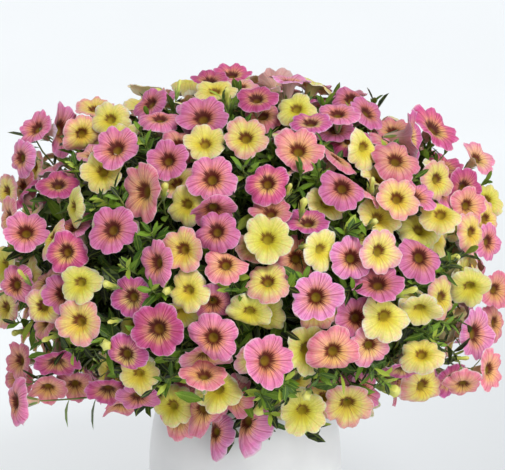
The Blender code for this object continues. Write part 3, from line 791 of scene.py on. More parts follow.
# Each twig's end is its spot, the way it faces, True for a flower, False for a bud or None for a leafy
# tip, and whether that tip shows between the flowers in front.
ends = [
    (spot - way * (BUD_STEM if kind == "bud" else TUBE_LENGTH) * size, way, kind != "bud", False)
    for kind, spot, way, size, foot, _ in heads if foot is None
]
for spot, normal in mound_layout(TIPS, 2.1):
    way = scattered(facing(normal), 0.25)
    ends.append((spot - normal * chance.uniform(0.004, 0.015), way, None, False))
for column, row in FRONT_TIPS:
    spot, normal, _ = photo_spot(column, row)
    way = (facing(normal) + Vector([chance.uniform(-0.3, 0.3) for _ in range(3)])).normalized()
    ends.append((spot - normal * 0.002, way, None, True))

twigs = []
for end, way, flower, seen in ends:
    best = None
    for number in range(TWIG_TRIES):
        curve = sorted(branches, key=lambda item: (item[3] - end).length)[number % 3]
        base = bezier(curve, chance.uniform(0.45, 0.98))
        run = (end - base).length
        leave = ((end - base).normalized() + (curve[3] - INSIDE).normalized() * 0.6).normalized()
        twig = (base, base + leave * run * 0.35, end - way * min(run * 0.45, 0.03), end)
        line = [bezier(twig, s) for s in np.linspace(0, 0.99, 8)]
        cuts = sum(through_flowers(a, b) for a, b in zip(line, line[1:]))
        if best is None or cuts < best[0]:
            best = (cuts, twig, run)
        if cuts == 0:
            break
    cuts, twig, run = best
    share = THROAT_SHARE if seen else 1.0
    if flower is None and (cuts or in_front(end, share) or in_front(bezier(twig, 0.8), share)):
        continue
    twigs.append((twig, run, flower, seen))
    stems.append([(bezier(twig, s), TWIG_RADIUS - TWIG_TAPER * s) for s in np.linspace(0, 1, 8)])
for kind, spot, way, size, foot, _ in heads:
    if foot is not None:
        top = spot - way * (BUD_STEM if kind == "bud" else TUBE_LENGTH)
        rising = (spot - foot).normalized()
        stems.append([(top, 0.0006), ((top + foot) / 2, 0.0007), (foot, 0.0009)])
        twigs.append(((foot - rising * 0.02, foot - rising * 0.01, foot, top), 0.032, True, False))


def stem_tree():
    """A round stem along each line, as thick as its points say, closed at its ends."""
    made, given = new_tree("round_stems", Lines="Geometry", Sides="Int", Finish="Material")
    thick = add_node(made, "InputNamedAttribute", {"Name": "thick"}, data_type="FLOAT")
    lines = add_node(made, "MeshToCurve", {"Mesh": given["Lines"]})
    sized = add_node(made, "SetCurveRadius", {"Curve": lines, "Radius": thick})
    ring = add_node(made, "CurvePrimitiveCircle", {"Resolution": given["Sides"], "Radius": 1.0})
    tubes = add_node(made, "CurveToMesh", {"Curve": sized, "Profile Curve": ring, "Fill Caps": True})
    if "Scale" in tubes.inputs:
        made.links.new(thick.outputs[0], tubes.inputs["Scale"])
    smooth = add_node(made, "SetShadeSmooth", {"Geometry": tubes})
    return end_tree(made, smooth, given["Finish"])


source = bpy.data.meshes.new("stem_lines")
points = [spot for stem in stems for spot, _ in stem]
edges, first = [], 0
for stem in stems:
    edges += [(first + step, first + step + 1) for step in range(len(stem) - 1)]
    first += len(stem)
source.from_pydata([tuple(point) for point in points], edges, [])
thick = source.attributes.new("thick", "FLOAT", "POINT")
thick.data.foreach_set("value", [radius for stem in stems for _, radius in stem])

# Thin green stems: paler and darker green in patches, with fine hairs that catch the light.
stem_green = mottled_finish(
    "thin_green_stem", 0.55, (60.0, 3.0), ((0.35, "#4F6A22"), (0.65, "#87994A")), Sheen_Weight=0.06
)
grown("branches_and_stalks", source, stem_tree(), stem_green, "leaf_and_stem", Sides=5)


# The leaves: small soft blades along every stem, folded a little on the midrib and bent down at
# the tip. They grow in pairs and tufts, dark inside the mound and lighter at the young tips; the dark
# tone deep inside is partly older leaves and partly painted shade.
LEAF_LENGTH, LEAF_WIDTH = 0.023, 0.0074
HOLLOW_DEPTH, HOLLOW_CLEAR = 0.72, 13
LEAF_STATIONS = ((0.0, 0.10), (0.22, 0.62), (0.50, 1.0), (0.80, 0.70), (1.0, 0.0))
BLADE_THICKNESS = 0.0004
RING_SIDES = ((0, 1), (1, 2), (2, 3), (3, 0))


def leaf_shape(tone, fold, bend, twist):
    """A leaf along +Y: a closed thin blade, two faces across its top and two below."""
    points, faces, uv = [], [], []
    for share, width in LEAF_STATIONS[:-1]:
        half = LEAF_WIDTH / 2 * width
        drop = -bend * LEAF_LENGTH * share**2
        lean = twist * share
        for across, lift in ((-1, fold * half), (0, 0.0), (1, fold * half), (0, -BLADE_THICKNESS * width)):
            x, z = across * half, drop + lift
            side = x * math.cos(lean) - z * math.sin(lean)
            points.append((side, share * LEAF_LENGTH, z + x * math.sin(lean)))
    points.append((0.0, LEAF_LENGTH, -bend * LEAF_LENGTH))

    def lay(ring, across, under):
        share = LEAF_STATIONS[ring][0]
        width = LEAF_STATIONS[ring][1] * across if ring < 4 else 0.0
        return ((tone + 0.5 + 0.44 * width) / 4, (0.04 + 0.92 * share + (0 if under else 1)) / 2)

    last = len(points) - 1
    for ring in range(4):
        low, high = 4 * ring, 4 * ring + 4
        for (a, b), side_a, side_b, under in zip(RING_SIDES, (-1, 0, 1, 0), (0, 1, 0, -1), (0, 0, 1, 1)):
            uv += [lay(ring, side_a, under), lay(ring, side_b, under)]
            if ring < 3:
                faces.append((low + a, low + b, high + b, high + a))
                uv += [lay(ring + 1, side_b, under), lay(ring + 1, side_a, under)]
            else:
                faces.append((low + a, low + b, last))
                uv.append(lay(4, 0, under))
    faces.append((3, 2, 1, 0))
    uv += [lay(0, 0, True)] * 4
    return new_piece("leaf", points, faces, corner_places=uv, sharp=75)


def leaf_turn(way, tip_way):
    """The turn that lays a leaf's length along way, with its upper side towards the stem's tip."""
    way = way.normalized()
    up = tip_way - way * tip_way.dot(way)
    up = up.normalized() if up.length > 0.05 else way.orthogonal().normalized()
    across = way.cross(up)
    return Matrix((across, way, up)).transposed().to_quaternion()


def leaf_way(along, turn, open_out):
    first = along.orthogonal().normalized()
    second = along.cross(first)
    side = first * math.cos(turn) + second * math.sin(turn)
    return (side * math.sin(open_out) + along * math.cos(open_out)).normalized()


leaf_places = []


def add_leaf(spot, way, tip_way, wide, size, shape, seen=False):
    """Adds a leaf, unless it would cut through a flower, hide it or fill a dark hollow."""
    way = way.normalized()
    middle, tip = spot + way * LEAF_LENGTH * size * 0.55, spot + way * LEAF_LENGTH * size
    share = THROAT_SHARE if seen else 1.0
    if through_flowers(spot, tip) or in_front(middle, share) or in_front(tip, share):
        return
    if not seen and middle.y < 0 and mound_depth(middle) > HOLLOW_DEPTH:
        column, row = picture_place(middle)
        if min(math.hypot(column - x, row - y) for x, y in FRONT_HOLLOWS) < HOLLOW_CLEAR:
            return
    leaf_places.append((spot, leaf_turn(way, tip_way), (wide, size, size), shape))


# A leaf's number gives its tone, 0 dark, 1 mid, 2 light and 3 yellow-green, and one of three forms.
# The dark tone, taken more often the nearer a leaf sits to its twig's foot, is partly painted shade.
for twig, run, flower, seen in twigs:
    shares = np.linspace(0.30, 0.88, max(4, int(run / 0.010)))
    if flower is None:
        shares = (0.40, 0.54, 0.66, 0.75, 0.82, 0.88, 0.93, 0.97, 1.0)
    start_turn = chance.uniform(0, 6.28)
    for number, share in enumerate(shares):
        along = heading_at(twig, share)
        spot = bezier(twig, share)
        young = share if flower is None else share * 0.6
        for pair in range(2 if share < 0.9 or flower is None else 1):
            turn = start_turn + number * 1.9 + pair * math.pi + chance.gauss(0, 0.3)
            open_out = math.radians(chance.uniform(48, 82) - (25 if share > 0.93 else 0))
            way = leaf_way(along, turn, open_out) + Vector((0, 0, 0.12))
            size = chance.uniform(0.72, 1.12) * (1.0 - 0.30 * (share > 0.9)) * (0.72 if seen else 1.0)
            weights = (2.2 - 1.7 * young, 1.0, 0.1 + 0.9 * young, 0.5 * young**3)
            tone = chance.choices((0, 1, 2, 3), weights)[0]
            wide = size * chance.uniform(0.85, 1.2)
            add_leaf(spot, way, along, wide, size, tone + 4 * chance.randrange(3), seen and share > 0.8)
# Every leaf on the main branches, deep in the mound, takes the dark tone: partly painted shade.
for curve in branches:
    for share in np.linspace(0.45, 1.0, 8):
        along = heading_at(curve, share)
        for pair in range(2):
            turn = share * 23 + pair * math.pi + chance.gauss(0, 0.4)
            way = leaf_way(along, turn, chance.uniform(0.8, 1.4))
            size = chance.uniform(1.1, 1.5)
            add_leaf(bezier(curve, share), way, along, size, size, 4 * chance.randrange(3))

# Leaf of a petunia relative: soft, matt green blade, paler below, with a light midrib.
leaf_finish, tree, shader = new_finish("soft_leaf_blade", 0.5, Sheen_Weight=0.03, Specular_IOR_Level=0.3)
where = add_node(tree, "UVMap", uv_map="OFBake").outputs[0]
cell = add_node(tree, "VectorMath", {0: where, 1: (4.0, 2.0, 1.0)}, operation="MULTIPLY")
local = add_node(tree, "VectorMath", {0: cell}, operation="FRACTION")
spread_out = add_node(tree, "SeparateXYZ", {0: local})
sheet = add_node(tree, "SeparateXYZ", {0: where})
# The darkest stop is partly painted shade for the leaves deep in the mound.
tone = add_node(
    tree, "ValToRGB", {0: sheet},
    stops=((0.0, "#132204"), (0.25, "#37590E"), (0.50, "#688B1E"), (0.75, "#A2B43C")),
)
tone.color_ramp.interpolation = "CONSTANT"
off_rib = add_node(tree, "Math", {0: spread_out, 1: 0.5}, operation="SUBTRACT")
off_rib = add_node(tree, "Math", {0: off_rib}, operation="ABSOLUTE")
rib = add_node(tree, "MapRange", {0: off_rib, 1: 0.02, 2: 0.07, 3: 0.45, 4: 0.0})
slant = add_node(tree, "Math", {0: off_rib, 1: 26.0, 2: spread_out.outputs[1]}, operation="MULTIPLY_ADD")
slant = add_node(tree, "Math", {0: spread_out.outputs[1], 1: 44.0, 2: slant}, operation="MULTIPLY_ADD")
veins = add_node(tree, "Math", {0: slant}, operation="SINE")
side_veins = add_node(tree, "MapRange", {0: veins, 1: 0.7, 2: 1.0, 3: 0.0, 4: 0.14})
lines = add_node(tree, "Math", {0: rib, 1: side_veins}, operation="MAXIMUM")
speckle = add_node(tree, "TexNoise", {"Vector": where, "Scale": 60.0, "Detail": 3.0})
shade = add_node(tree, "MapRange", {0: speckle, 1: 0.3, 2: 0.7, 3: 0.78, 4: 1.18})
under = add_node(tree, "MapRange", {0: sheet.outputs[1], 1: 0.499, 2: 0.501, 3: 0.35, 4: 0.0})
paler = add_node(tree, "Mix", {0: under, 6: tone, 7: colour("#74893F")}, data_type="RGBA")
lined = add_node(tree, "Mix", {0: lines, 6: paler, 7: colour("#9CB246")}, data_type="RGBA")
shaded = add_node(tree, "VectorMath", {0: lined, 3: shade}, operation="SCALE")
skin = add_node(tree, "Bump", {"Height": lines, "Strength": 0.35, "Distance": 0.0002})
tree.links.new(shaded.outputs[0], shader.inputs["Base Color"])
tree.links.new(skin.outputs[0], shader.inputs["Normal"])

half = len(leaf_places) // 2
chance.shuffle(leaf_places)
FORMS = ((0.35, 0.10, 0.0), (0.20, 0.25, 0.5), (0.55, 0.02, -0.4))
for name, share in (("leaves_first_half", leaf_places[:half]), ("leaves_second_half", leaf_places[half:])):
    shapes = [leaf_shape(tone, *form) for form in FORMS for tone in range(4)]
    copies(name, shapes, share, leaf_finish, "leaf_and_stem")


# The calyxes: the green cup and five narrow sepals that hold each flower's tube.
# Each grows from the top of its stalk, and its sepals stand round the tube.
CUP = ((0.0, -0.0195), (0.0012, -0.0192), (0.0021, -0.0176), (0.0024, -0.0160), (0.0, -0.0156))
SEPAL_LENGTH, SEPAL_START, SEPAL_LEVEL = 0.0095, 0.0021, -0.0168
SEPAL_EDGE, SEPAL_RIDGE = -0.0002, 0.0004


def add_sepals(points, faces, stations, tip, start=0.0):
    """Adds five narrow closed sepals, from how far out, wide and high each is at its stations."""
    for sepal in range(5):
        turn = 2 * math.pi * sepal / 5 + start
        out = Vector((math.cos(turn), math.sin(turn), 0))
        across = Vector((-out.y, out.x, 0))
        first = len(points)
        for far, half, high in stations:
            for side, thick in ((-half, 0.0), (0.0, SEPAL_EDGE), (half, 0.0), (0.0, SEPAL_RIDGE)):
                points.append(out * (far + thick) + across * side + Vector((0, 0, high)))
        points.append(out * tip[0] + Vector((0, 0, tip[1])))
        last = len(points) - 1
        for low in range(first, last - 4, 4):
            faces += [(low + a, low + b, low + b + 4, low + a + 4) for a, b in RING_SIDES]
        faces += [(last - 4 + a, last - 4 + b, last) for a, b in RING_SIDES]
        faces.append((first + 3, first + 2, first + 1, first))


def faced_outwards(piece):
    work = bmesh.new()
    work.from_mesh(piece.data)
    bmesh.ops.recalc_face_normals(work, faces=work.faces)
    work.to_mesh(piece.data)
    work.free()
    return piece


def calyx_shape(number, spread):
    """A cup at the tube's foot, behind the petals, with five sepals that lean out."""
    points, faces = turned(CUP, 10)
    stations = [
        (
            SEPAL_START + spread * (share + lean * 0.4) * SEPAL_LENGTH, half,
            SEPAL_LEVEL + SEPAL_LENGTH * share * (1 - 0.25 * spread),
        )
        for share, half, lean in ((0.0, 0.0008, 0.0), (0.45, 0.0011, 0.1), (0.8, 0.0007, 0.4))
    ]
    tip = (SEPAL_START + spread * 1.35 * SEPAL_LENGTH, SEPAL_LEVEL + SEPAL_LENGTH * (1 - 0.3 * spread))
    add_sepals(points, faces, stations, tip, 0.3 * number)
    return faced_outwards(new_piece("calyx", points, faces, sharp=70))


def flower_turn(way, spin):
    return way.to_track_quat("Z", "Y") @ Quaternion((0, 0, 1), spin)


# Green of the calyx: a little yellower than the leaves, matt and hairy.
calyx_green = mottled_finish(
    "calyx_green", 0.6, (70.0, 4.0), ((0.35, "#5D7F35"), (0.65, "#9AAE58")), Sheen_Weight=0.25
)

spins = [chance.gauss(0, 0.25) for _ in heads]
places = []
for (kind, spot, way, size, _, _), spin in zip(heads, spins):
    if kind != "bud":
        places.append((spot, flower_turn(way, spin), (size, size, size), chance.randrange(3)))
shapes = [calyx_shape(number, spread) for number, spread in enumerate((0.25, 0.45, 0.7))]
copies("calyxes", shapes, places, calyx_green, "leaf_and_stem")


# The flowers: five petals joined into one funnel, each petal a little notched at its end, with a
# dark throat and a tube behind. They are soft, thin and wavy, and one petal of each hangs down.
ROUND, THROAT = 40, 0.26
HANG = math.radians(18)
CREASE, MIDLINE = 0.0021, 0.0008
PETAL_OUTLINE = (0.800, 0.915, 0.980, 1.0, 0.960, 1.0, 0.980, 0.915)
# Radius as a share of the flower's, and depth in mm: down the throat's inside and out over the top.
TOP_RINGS = ((0.085, 6.0), (0.18, 3.6), (0.27, 1.6), (0.47, 0.1), (0.70, -0.4), (0.88, -0.3), (1.0, 0.0))
# Back in under the petals and down the outside of the tube.
UNDER_RINGS = ((0.62, 0.8), (0.27, 4.2), (0.19, 11.0), (0.10, 18.5))


def flower_shape(tint, number, cup, curl, ruffle, fold_turn, fold, limp):
    """One flower facing +Z, as a closed thin shell, from how it cups, curls, ruffles, folds and sags."""
    phase = 1.7 * number + 0.9 * tint

    def lay_out(share, depth, step):
        angle = 2 * math.pi * step / ROUND + HANG
        between = abs(math.cos(2.5 * (angle - HANG)))
        outline = 1 - (1 - PETAL_OUTLINE[step % 8]) * share**4
        outline += share**2 * (0.045 * math.sin(2 * angle + phase) + 0.040 * math.sin(3 * angle + 2 * phase))
        outline *= 1 + limp * share**2 * (0.55 * max(-math.sin(angle), 0) ** 6 - 0.12)
        far = FLOWER_RADIUS * share * outline
        rise = -depth / 1000
        if share > THROAT:
            out = (share - THROAT) / (1 - THROAT)
            wave = math.sin(3 * angle + phase) + 0.5 * math.sin(7 * angle + 2.1 * phase)
            wave += 0.60 * out * math.sin(10 * angle - 1.3 * phase)
            rise += FLOWER_RADIUS * (cup * out**1.3 - curl * out**3 + ruffle * out**2 * wave)
            rise -= CREASE * out * between**4 + MIDLINE * out * (1 - between) ** 6
        x, y = far * math.cos(angle), far * math.sin(angle)
        along = x * math.cos(fold_turn) + y * math.sin(fold_turn)
        start = 0.2 * FLOWER_RADIUS
        if fold and along > start and share > THROAT:
            bent = fold * ramp_between(0, 1, (along - start) / (FLOWER_RADIUS - start))
            shift = (along - start) * (math.cos(bent) - 1)
            x += shift * math.cos(fold_turn)
            y += shift * math.sin(fold_turn)
            rise += (along - start) * math.sin(bent)
        beyond = abs(x) - start
        if limp and beyond > 0 and share > THROAT:
            x = math.copysign(start + beyond * math.cos(limp), x)
            rise -= beyond * math.sin(limp)
        return (x, y, rise)

    points = [(0.0, 0.0, -0.0072)]
    for share, depth in TOP_RINGS + UNDER_RINGS:
        points += [lay_out(share, depth, step) for step in range(ROUND)]
    points.append((0.0, 0.0, -0.0185))
    last = len(points) - 1

    def place_of(share, step, under):
        angle = 2 * math.pi * step / ROUND + HANG
        x, y = 0.47 * share * math.cos(angle), 0.47 * share * math.sin(angle)
        return ((tint + 0.5 + x) / 3, (0.5 + y + (0 if under else 1)) / 2)

    shares = [share for share, _ in TOP_RINGS + UNDER_RINGS]
    faces, uv = [], []
    for step in range(ROUND):
        after = (step + 1) % ROUND
        faces.append((0, 1 + step, 1 + after))
        uv += [place_of(0, 0, False), place_of(shares[0], step, False), place_of(shares[0], step + 1, False)]
        for ring in range(len(shares) - 1):
            low, high = 1 + ring * ROUND, 1 + (ring + 1) * ROUND
            under = ring >= len(TOP_RINGS) - 1
            faces.append((low + step, high + step, high + after, low + after))
            uv += [place_of(shares[ring], step, under), place_of(shares[ring + 1], step, under)]
            uv += [place_of(shares[ring + 1], step + 1, under), place_of(shares[ring], step + 1, under)]
        low = 1 + (len(shares) - 1) * ROUND
        faces.append((low + step, last, low + after))
        uv += [place_of(shares[-1], step, True), place_of(0, 0, True), place_of(shares[-1], step + 1, True)]
    return new_piece("flower", points, faces, corner_places=uv, sharp=65)


# How each shape cups, curls back and ruffles, which way and how far one side folds, and how limp it is.
FLOWER_FORMS = (
    (0.08, 0.12, 0.044, 0.0, 0.0, 0.0),
    (0.18, 0.10, 0.068, 0.0, 0.0, 0.0),
    (-0.03, 0.18, 0.058, 0.0, 0.0, 0.0),
    (0.05, 0.12, 0.066, 0.8, -0.90, 0.0),
    (0.10, 0.30, 0.070, 4.4, -0.75, 0.0),
    (0.42, 0.05, 0.050, 0.0, 0.0, 0.0),
    (0.14, 0.06, 0.060, 3.0, 0.45, 0.0),
    (0.02, 0.35, 0.090, 0.0, 0.0, 0.85),
)


def petal_finish(name, top, under, throat, veins, patch, blush, tints):
    """Petal tissue: velvety and thin, with fine veins that run out from a streaked dark throat.

    top and under are ramps from the throat outwards, and tints is one that differs between flowers.
    """
    throat_tone, throat_start, throat_end, throat_depth, middle_tone, throat_pull = throat
    vein_tone, vein_near, vein_far, fold_shade_depth = veins
    (patch_tone, patch_depth), (blush_tone, blush_depth) = patch, blush
    material, tree, shader = new_finish(
        name, 0.55, Sheen_Weight=0.06, Sheen_Roughness=0.4, Specular_IOR_Level=0.25, Subsurface_Weight=0.45,
        Subsurface_Radius=(0.004, 0.002, 0.002), Subsurface_Scale=0.4,
    )
    where = add_node(tree, "UVMap", uv_map="OFBake")
    sheet = add_node(tree, "SeparateXYZ", {0: where})
    disc = where
    for step, amount in (
        ("MULTIPLY", (3.0, 2.0, 1.0)), ("FRACTION", (0.0, 0.0, 0.0)), ("SUBTRACT", (0.5, 0.5, 0.0)),
        ("MULTIPLY", (2.13, 2.13, 0.0)),
    ):
        disc = add_node(tree, "VectorMath", {0: disc, 1: amount}, operation=step)
    far = add_node(tree, "VectorMath", {0: disc}, operation="LENGTH")
    outward = add_node(tree, "VectorMath", {0: disc}, operation="NORMALIZE")
    level = add_node(tree, "CombineXYZ", {2: far})
    height = add_node(tree, "SeparateXYZ", {0: outward}).outputs[1]
    turn = add_node(tree, "SeparateXYZ", {0: disc})
    turn = add_node(tree, "Math", {0: turn.outputs[1], 1: turn}, operation="ARCTAN2")

    # Veins about 1 mm apart half way out, and broader streaks, both drawn out along the petals.
    streaks = []
    for count, detail in ((19.0, 2.0), (6.0, 1.0)):
        round_it = {0: outward, 1: (count, count, 0.0), 2: level}
        round_it = add_node(tree, "VectorMath", round_it, operation="MULTIPLY_ADD")
        streaks.append(add_node(tree, "TexNoise", {"Vector": round_it, "Scale": 1.0, "Detail": detail}))
    fine, broad = streaks
    vein = add_node(tree, "MapRange", {0: fine, 1: 0.46, 2: 0.60, 3: 0.0, 4: 1.0})
    vein_fade = add_node(tree, "MapRange", {0: far, 1: 0.25, 2: 1.0, 3: vein_near, 4: vein_far})
    vein = add_node(tree, "Math", {0: vein, 1: vein_fade}, operation="MULTIPLY")

    # A dark line down the middle of each petal and in the crease between petals: partly the petals' own vein
    # colour, partly painted shade in the folds.
    fold = add_node(tree, "Math", {0: turn, 1: 2.5, 2: -2.5 * HANG}, operation="MULTIPLY_ADD")
    marks = []
    for wave, width, depth in (("COSINE", 0.12, 1.0), ("SINE", 0.13, 0.8)):
        mark = add_node(tree, "Math", {0: fold}, operation=wave)
        mark = add_node(tree, "Math", {0: mark}, operation="ABSOLUTE")
        marks.append(add_node(tree, "MapRange", {0: mark, 1: 0.02, 2: width, 3: depth, 4: 0.0}))
    vein_and_fold_shade = add_node(tree, "Math", {0: marks[0], 1: marks[1]}, operation="MAXIMUM")
    fold_fade = add_node(tree, "MapRange", {0: far, 1: 0.35, 2: 0.98, 3: 1.0, 4: 0.60})
    for amount in (fold_fade, fold_shade_depth):
        vein_and_fold_shade = add_node(tree, "Math", {0: vein_and_fold_shade, 1: amount}, operation="MULTIPLY")
    lines = add_node(tree, "Math", {0: vein, 1: vein_and_fold_shade}, operation="MAXIMUM")

    # The colour between the veins changes outwards, unevenly, with a flush of a deeper colour.
    cloud = add_node(tree, "TexNoise", {"Vector": disc, "Scale": 2.6, "Detail": 3.0})
    uneven = add_node(tree, "Math", {0: cloud, 1: 0.40, 2: far}, operation="MULTIPLY_ADD")
    uneven = add_node(tree, "Math", {0: broad, 1: 0.30, 2: uneven}, operation="MULTIPLY_ADD")
    uneven = add_node(tree, "Math", {0: uneven, 1: 0.35}, operation="SUBTRACT")
    upper = add_node(tree, "ValToRGB", {0: uneven}, top)
    lower = add_node(tree, "ValToRGB", {0: uneven}, under)
    mottle = add_node(tree, "TexNoise", {"Vector": disc, "Scale": 9.0, "Detail": 3.0})
    flush = add_node(tree, "MapRange", {0: mottle, 1: 0.48, 2: 0.66, 3: 0.0, 4: blush_depth})
    outer = add_node(tree, "MapRange", {0: uneven, 1: 0.50, 2: 0.90, 3: 0.0, 4: 1.0})
    flush = add_node(tree, "Math", {0: flush, 1: outer}, operation="MULTIPLY")
    upper = add_node(tree, "Mix", {0: flush, 6: upper, 7: colour(blush_tone)}, data_type="RGBA")
    uneven_light = add_node(tree, "MapRange", {0: mottle, 1: 0.35, 2: 0.65, 3: 0.90, 4: 1.10})
    upper = add_node(tree, "VectorMath", {0: upper, 3: uneven_light}, operation="SCALE")

    # The yellow patch below the throat: partly the petals' own yellow, partly painted light where the lower
    # inside of the throat is lit.
    lit_patch_below = add_node(tree, "MapRange", {0: height, 1: 0.15, 2: -0.85, 3: 0.0, 4: patch_depth})
    patch_end = add_node(tree, "Math", {0: broad, 1: 0.5, 2: far}, operation="MULTIPLY_ADD")
    patch_end = add_node(tree, "MapRange", {0: patch_end, 1: 0.56, 2: 0.86, 3: 1.0, 4: 0.0})
    lit_patch_below = add_node(tree, "Math", {0: lit_patch_below, 1: patch_end}, operation="MULTIPLY")

    # The dark throat ring with streaks that reach out along the veins, drawn in below the throat, so that
    # its wider upper side is partly painted shade inside the tube; its olive middle, a pale rim.
    reach = far
    for amount, share in ((broad, -0.26), (fine, -0.34), (lit_patch_below, throat_pull)):
        reach = add_node(tree, "Math", {0: amount, 1: share, 2: reach}, operation="MULTIPLY_ADD")
    reach = add_node(tree, "Math", {0: reach, 1: 0.30}, operation="ADD")
    ring = add_node(tree, "MapRange", {0: reach, 1: throat_start, 2: throat_end, 3: throat_depth, 4: 0.0})
    inner = add_node(tree, "MapRange", {0: far, 1: 0.13, 2: 0.20, 3: 0.95, 4: 0.0})
    rim = add_node(tree, "Math", {0: cloud, 1: 0.05, 2: far}, operation="MULTIPLY_ADD")
    rim = add_node(tree, "MapRange", {0: rim, 1: 0.98, 2: 1.02, 3: 0.0, 4: 0.55})
    for cover, code in (
        (lit_patch_below, patch_tone), (lines, vein_tone), (ring, throat_tone), (inner, middle_tone),
        (rim, "#FBE6E8"),
    ):
        upper = add_node(tree, "Mix", {0: cover, 6: upper, 7: colour(code)}, data_type="RGBA")

    # The underside with fainter veins, and a tint that differs from flower to flower.
    faint = add_node(tree, "Math", {0: lines, 1: 0.45}, operation="MULTIPLY")
    lower = add_node(tree, "Mix", {0: faint, 6: lower, 7: colour(vein_tone)}, data_type="RGBA")
    is_top = add_node(tree, "MapRange", {0: sheet.outputs[1], 1: 0.499, 2: 0.501, 3: 0.0, 4: 1.0})
    either = add_node(tree, "Mix", {0: is_top, 6: lower, 7: upper}, data_type="RGBA")
    tint = add_node(tree, "ValToRGB", {0: sheet}, tints)
    tint.color_ramp.interpolation = "CONSTANT"
    tinted = {0: 1.0, 6: either, 7: tint}
    tinted = add_node(tree, "Mix", tinted, data_type="RGBA", blend_type="MULTIPLY")
    skin = add_node(tree, "Bump", {"Height": lines, "Strength": 0.45, "Distance": 0.0003}, invert=True)
    tree.links.new(tinted.outputs[2], shader.inputs["Base Color"])
    tree.links.new(skin.outputs[0], shader.inputs["Normal"])
    return material


def flowers(kind, finish):
    """Every open flower of one kind, as one piece in place of its packed flowers."""
    shapes = [flower_shape(tint, n, *form) for tint in range(3) for n, form in enumerate(FLOWER_FORMS)]
    places = []
    for (head_kind, spot, way, size, _, openness), spin in zip(heads, spins):
        if head_kind != kind:
            continue
        roomy = not any(
            0.001 < (other[0] - spot).dot(way) < 0.014 and (other[0] - spot).length < 2.2 * FLOWER_RADIUS
            for other in discs
        )
        if openness < 0:
            number = len(FLOWER_FORMS) - 1
        elif openness > 0.8:
            number = chance.choice((0, 1, 2, 3, 1, 4))
        elif openness > 0.55:
            number = chance.choice((0, 1, 2, 1, 6 if roomy else 0))
        else:
            number = chance.choice((0, 1, 2, 5 if roomy else 1, 6 if roomy else 2))
        wide, high = size * chance.uniform(0.98, 1.10), size * chance.uniform(0.98, 1.10)
        number += len(FLOWER_FORMS) * chance.randrange(3)
        places.append((spot, flower_turn(way, spin), (wide, high, size), number))
    piece = copies("petals_" + kind, shapes, places, finish, "petal_" + kind)
    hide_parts(*(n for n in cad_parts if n.startswith(f"flower_{kind}_")))


# Rose pink: peach between the veins near the throat, cool pink outwards.
rose = petal_finish(
    "rose_petal",
    ((0.25, "#D98F6C"), (1.0, "#F2AAD4"), (0.42, "#DE9688"), (0.60, "#E79EB4"), (0.82, "#E38EC0")),
    ((0.1, "#EED2BA"), (1.0, "#FADCEA"), (0.4, "#F6DADC"), (0.75, "#F8DAE6")),
    ("#5A1608", 0.29, 0.41, 0.98, "#8C7216", 0.06),
    ("#A8365A", 0.66, 0.30, 1.0),
    ("#E8B767", 0.75), ("#C8529C", 0.55),
    ((0.0, "#FFFFFF"), (0.333, "#E9D3DC"), (0.667, "#FFF1EC")),
)
flowers("rose", rose)

# Magenta: a cream and yellow star round the throat, and the deepest pink of the mix outside it.
magenta = petal_finish(
    "magenta_petal",
    ((0.25, "#E3B070"), (1.0, "#E298C8"), (0.42, "#E2AC88"), (0.60, "#DB7C9C"), (0.82, "#D062A2")),
    ((0.1, "#E4C6A8"), (1.0, "#F6D0E4"), (0.4, "#EEC4D0"), (0.75, "#F0C2DA")),
    ("#52120A", 0.29, 0.42, 0.98, "#886C14", 0.09),
    ("#9E2450", 0.70, 0.40, 1.0),
    ("#EADB6E", 0.85), ("#B8358A", 0.6),
    ((0.0, "#FFFFFF"), (0.333, "#E6CCD2"), (0.667, "#FFEBE8")),
)
flowers("magenta", magenta)

# Salmon: pale peach in the middle, pink at the petals' ends.
salmon = petal_finish(
    "salmon_petal",
    ((0.25, "#E3B06C"), (1.0, "#EFAEC4"), (0.42, "#E8BB8C"), (0.62, "#EAB4A6"), (0.84, "#E491AC")),
    ((0.1, "#E8D2AC"), (1.0, "#FAE2E0"), (0.4, "#F4DECA"), (0.75, "#F8E0DA")),
    ("#5E1806", 0.27, 0.39, 0.97, "#8E7618", 0.10),
    ("#BE5560", 0.62, 0.30, 1.0),
    ("#EBD06E", 0.9), ("#D45F90", 0.65),
    ((0.0, "#FFFFFF"), (0.333, "#F0DCDD"), (0.667, "#FFF4E8")),
)
flowers("salmon", salmon)

# Two-tone: clear yellow that turns pale pink at the petals' ends.
two_tone = petal_finish(
    "yellow_and_pink_petal",
    ((0.25, "#DCCA4C"), (1.0, "#ECB2C6"), (0.42, "#E4DC6E"), (0.64, "#E8DA90"), (0.86, "#E8B4AE")),
    ((0.1, "#E4D8A0"), (1.0, "#FAE2E0"), (0.4, "#F4E6C0"), (0.75, "#F8E4D0")),
    ("#622008", 0.26, 0.37, 0.96, "#9A8018", 0.16),
    ("#C97F5A", 0.48, 0.30, 0.8),
    ("#E3D23A", 0.85), ("#D8668C", 0.7),
    ((0.0, "#FFFFFF"), (0.333, "#FFF4EA"), (0.667, "#F4F4E0")),
)
flowers("two_tone", two_tone)

# Pale yellow: lemon in the middle, cream at the edge, with a pink flush on some petals' ends.
yellow = petal_finish(
    "yellow_petal",
    ((0.25, "#D4C43C"), (1.0, "#F0EAC8"), (0.42, "#E0D85E"), (0.66, "#E6DE80"), (0.86, "#EBE29E")),
    ((0.1, "#DCD48C"), (1.0, "#FAF4DC"), (0.4, "#F0E8B4"), (0.75, "#F6EEC8")),
    ("#703A0C", 0.23, 0.32, 0.90, "#B09A24", 0.18),
    ("#C6A848", 0.42, 0.25, 0.7),
    ("#DCCB2E", 0.85), ("#DC8A92", 0.6),
    ((0.0, "#FFFFFF"), (0.333, "#FDF8EE"), (0.667, "#F2F6E2")),
)
flowers("yellow", yellow)


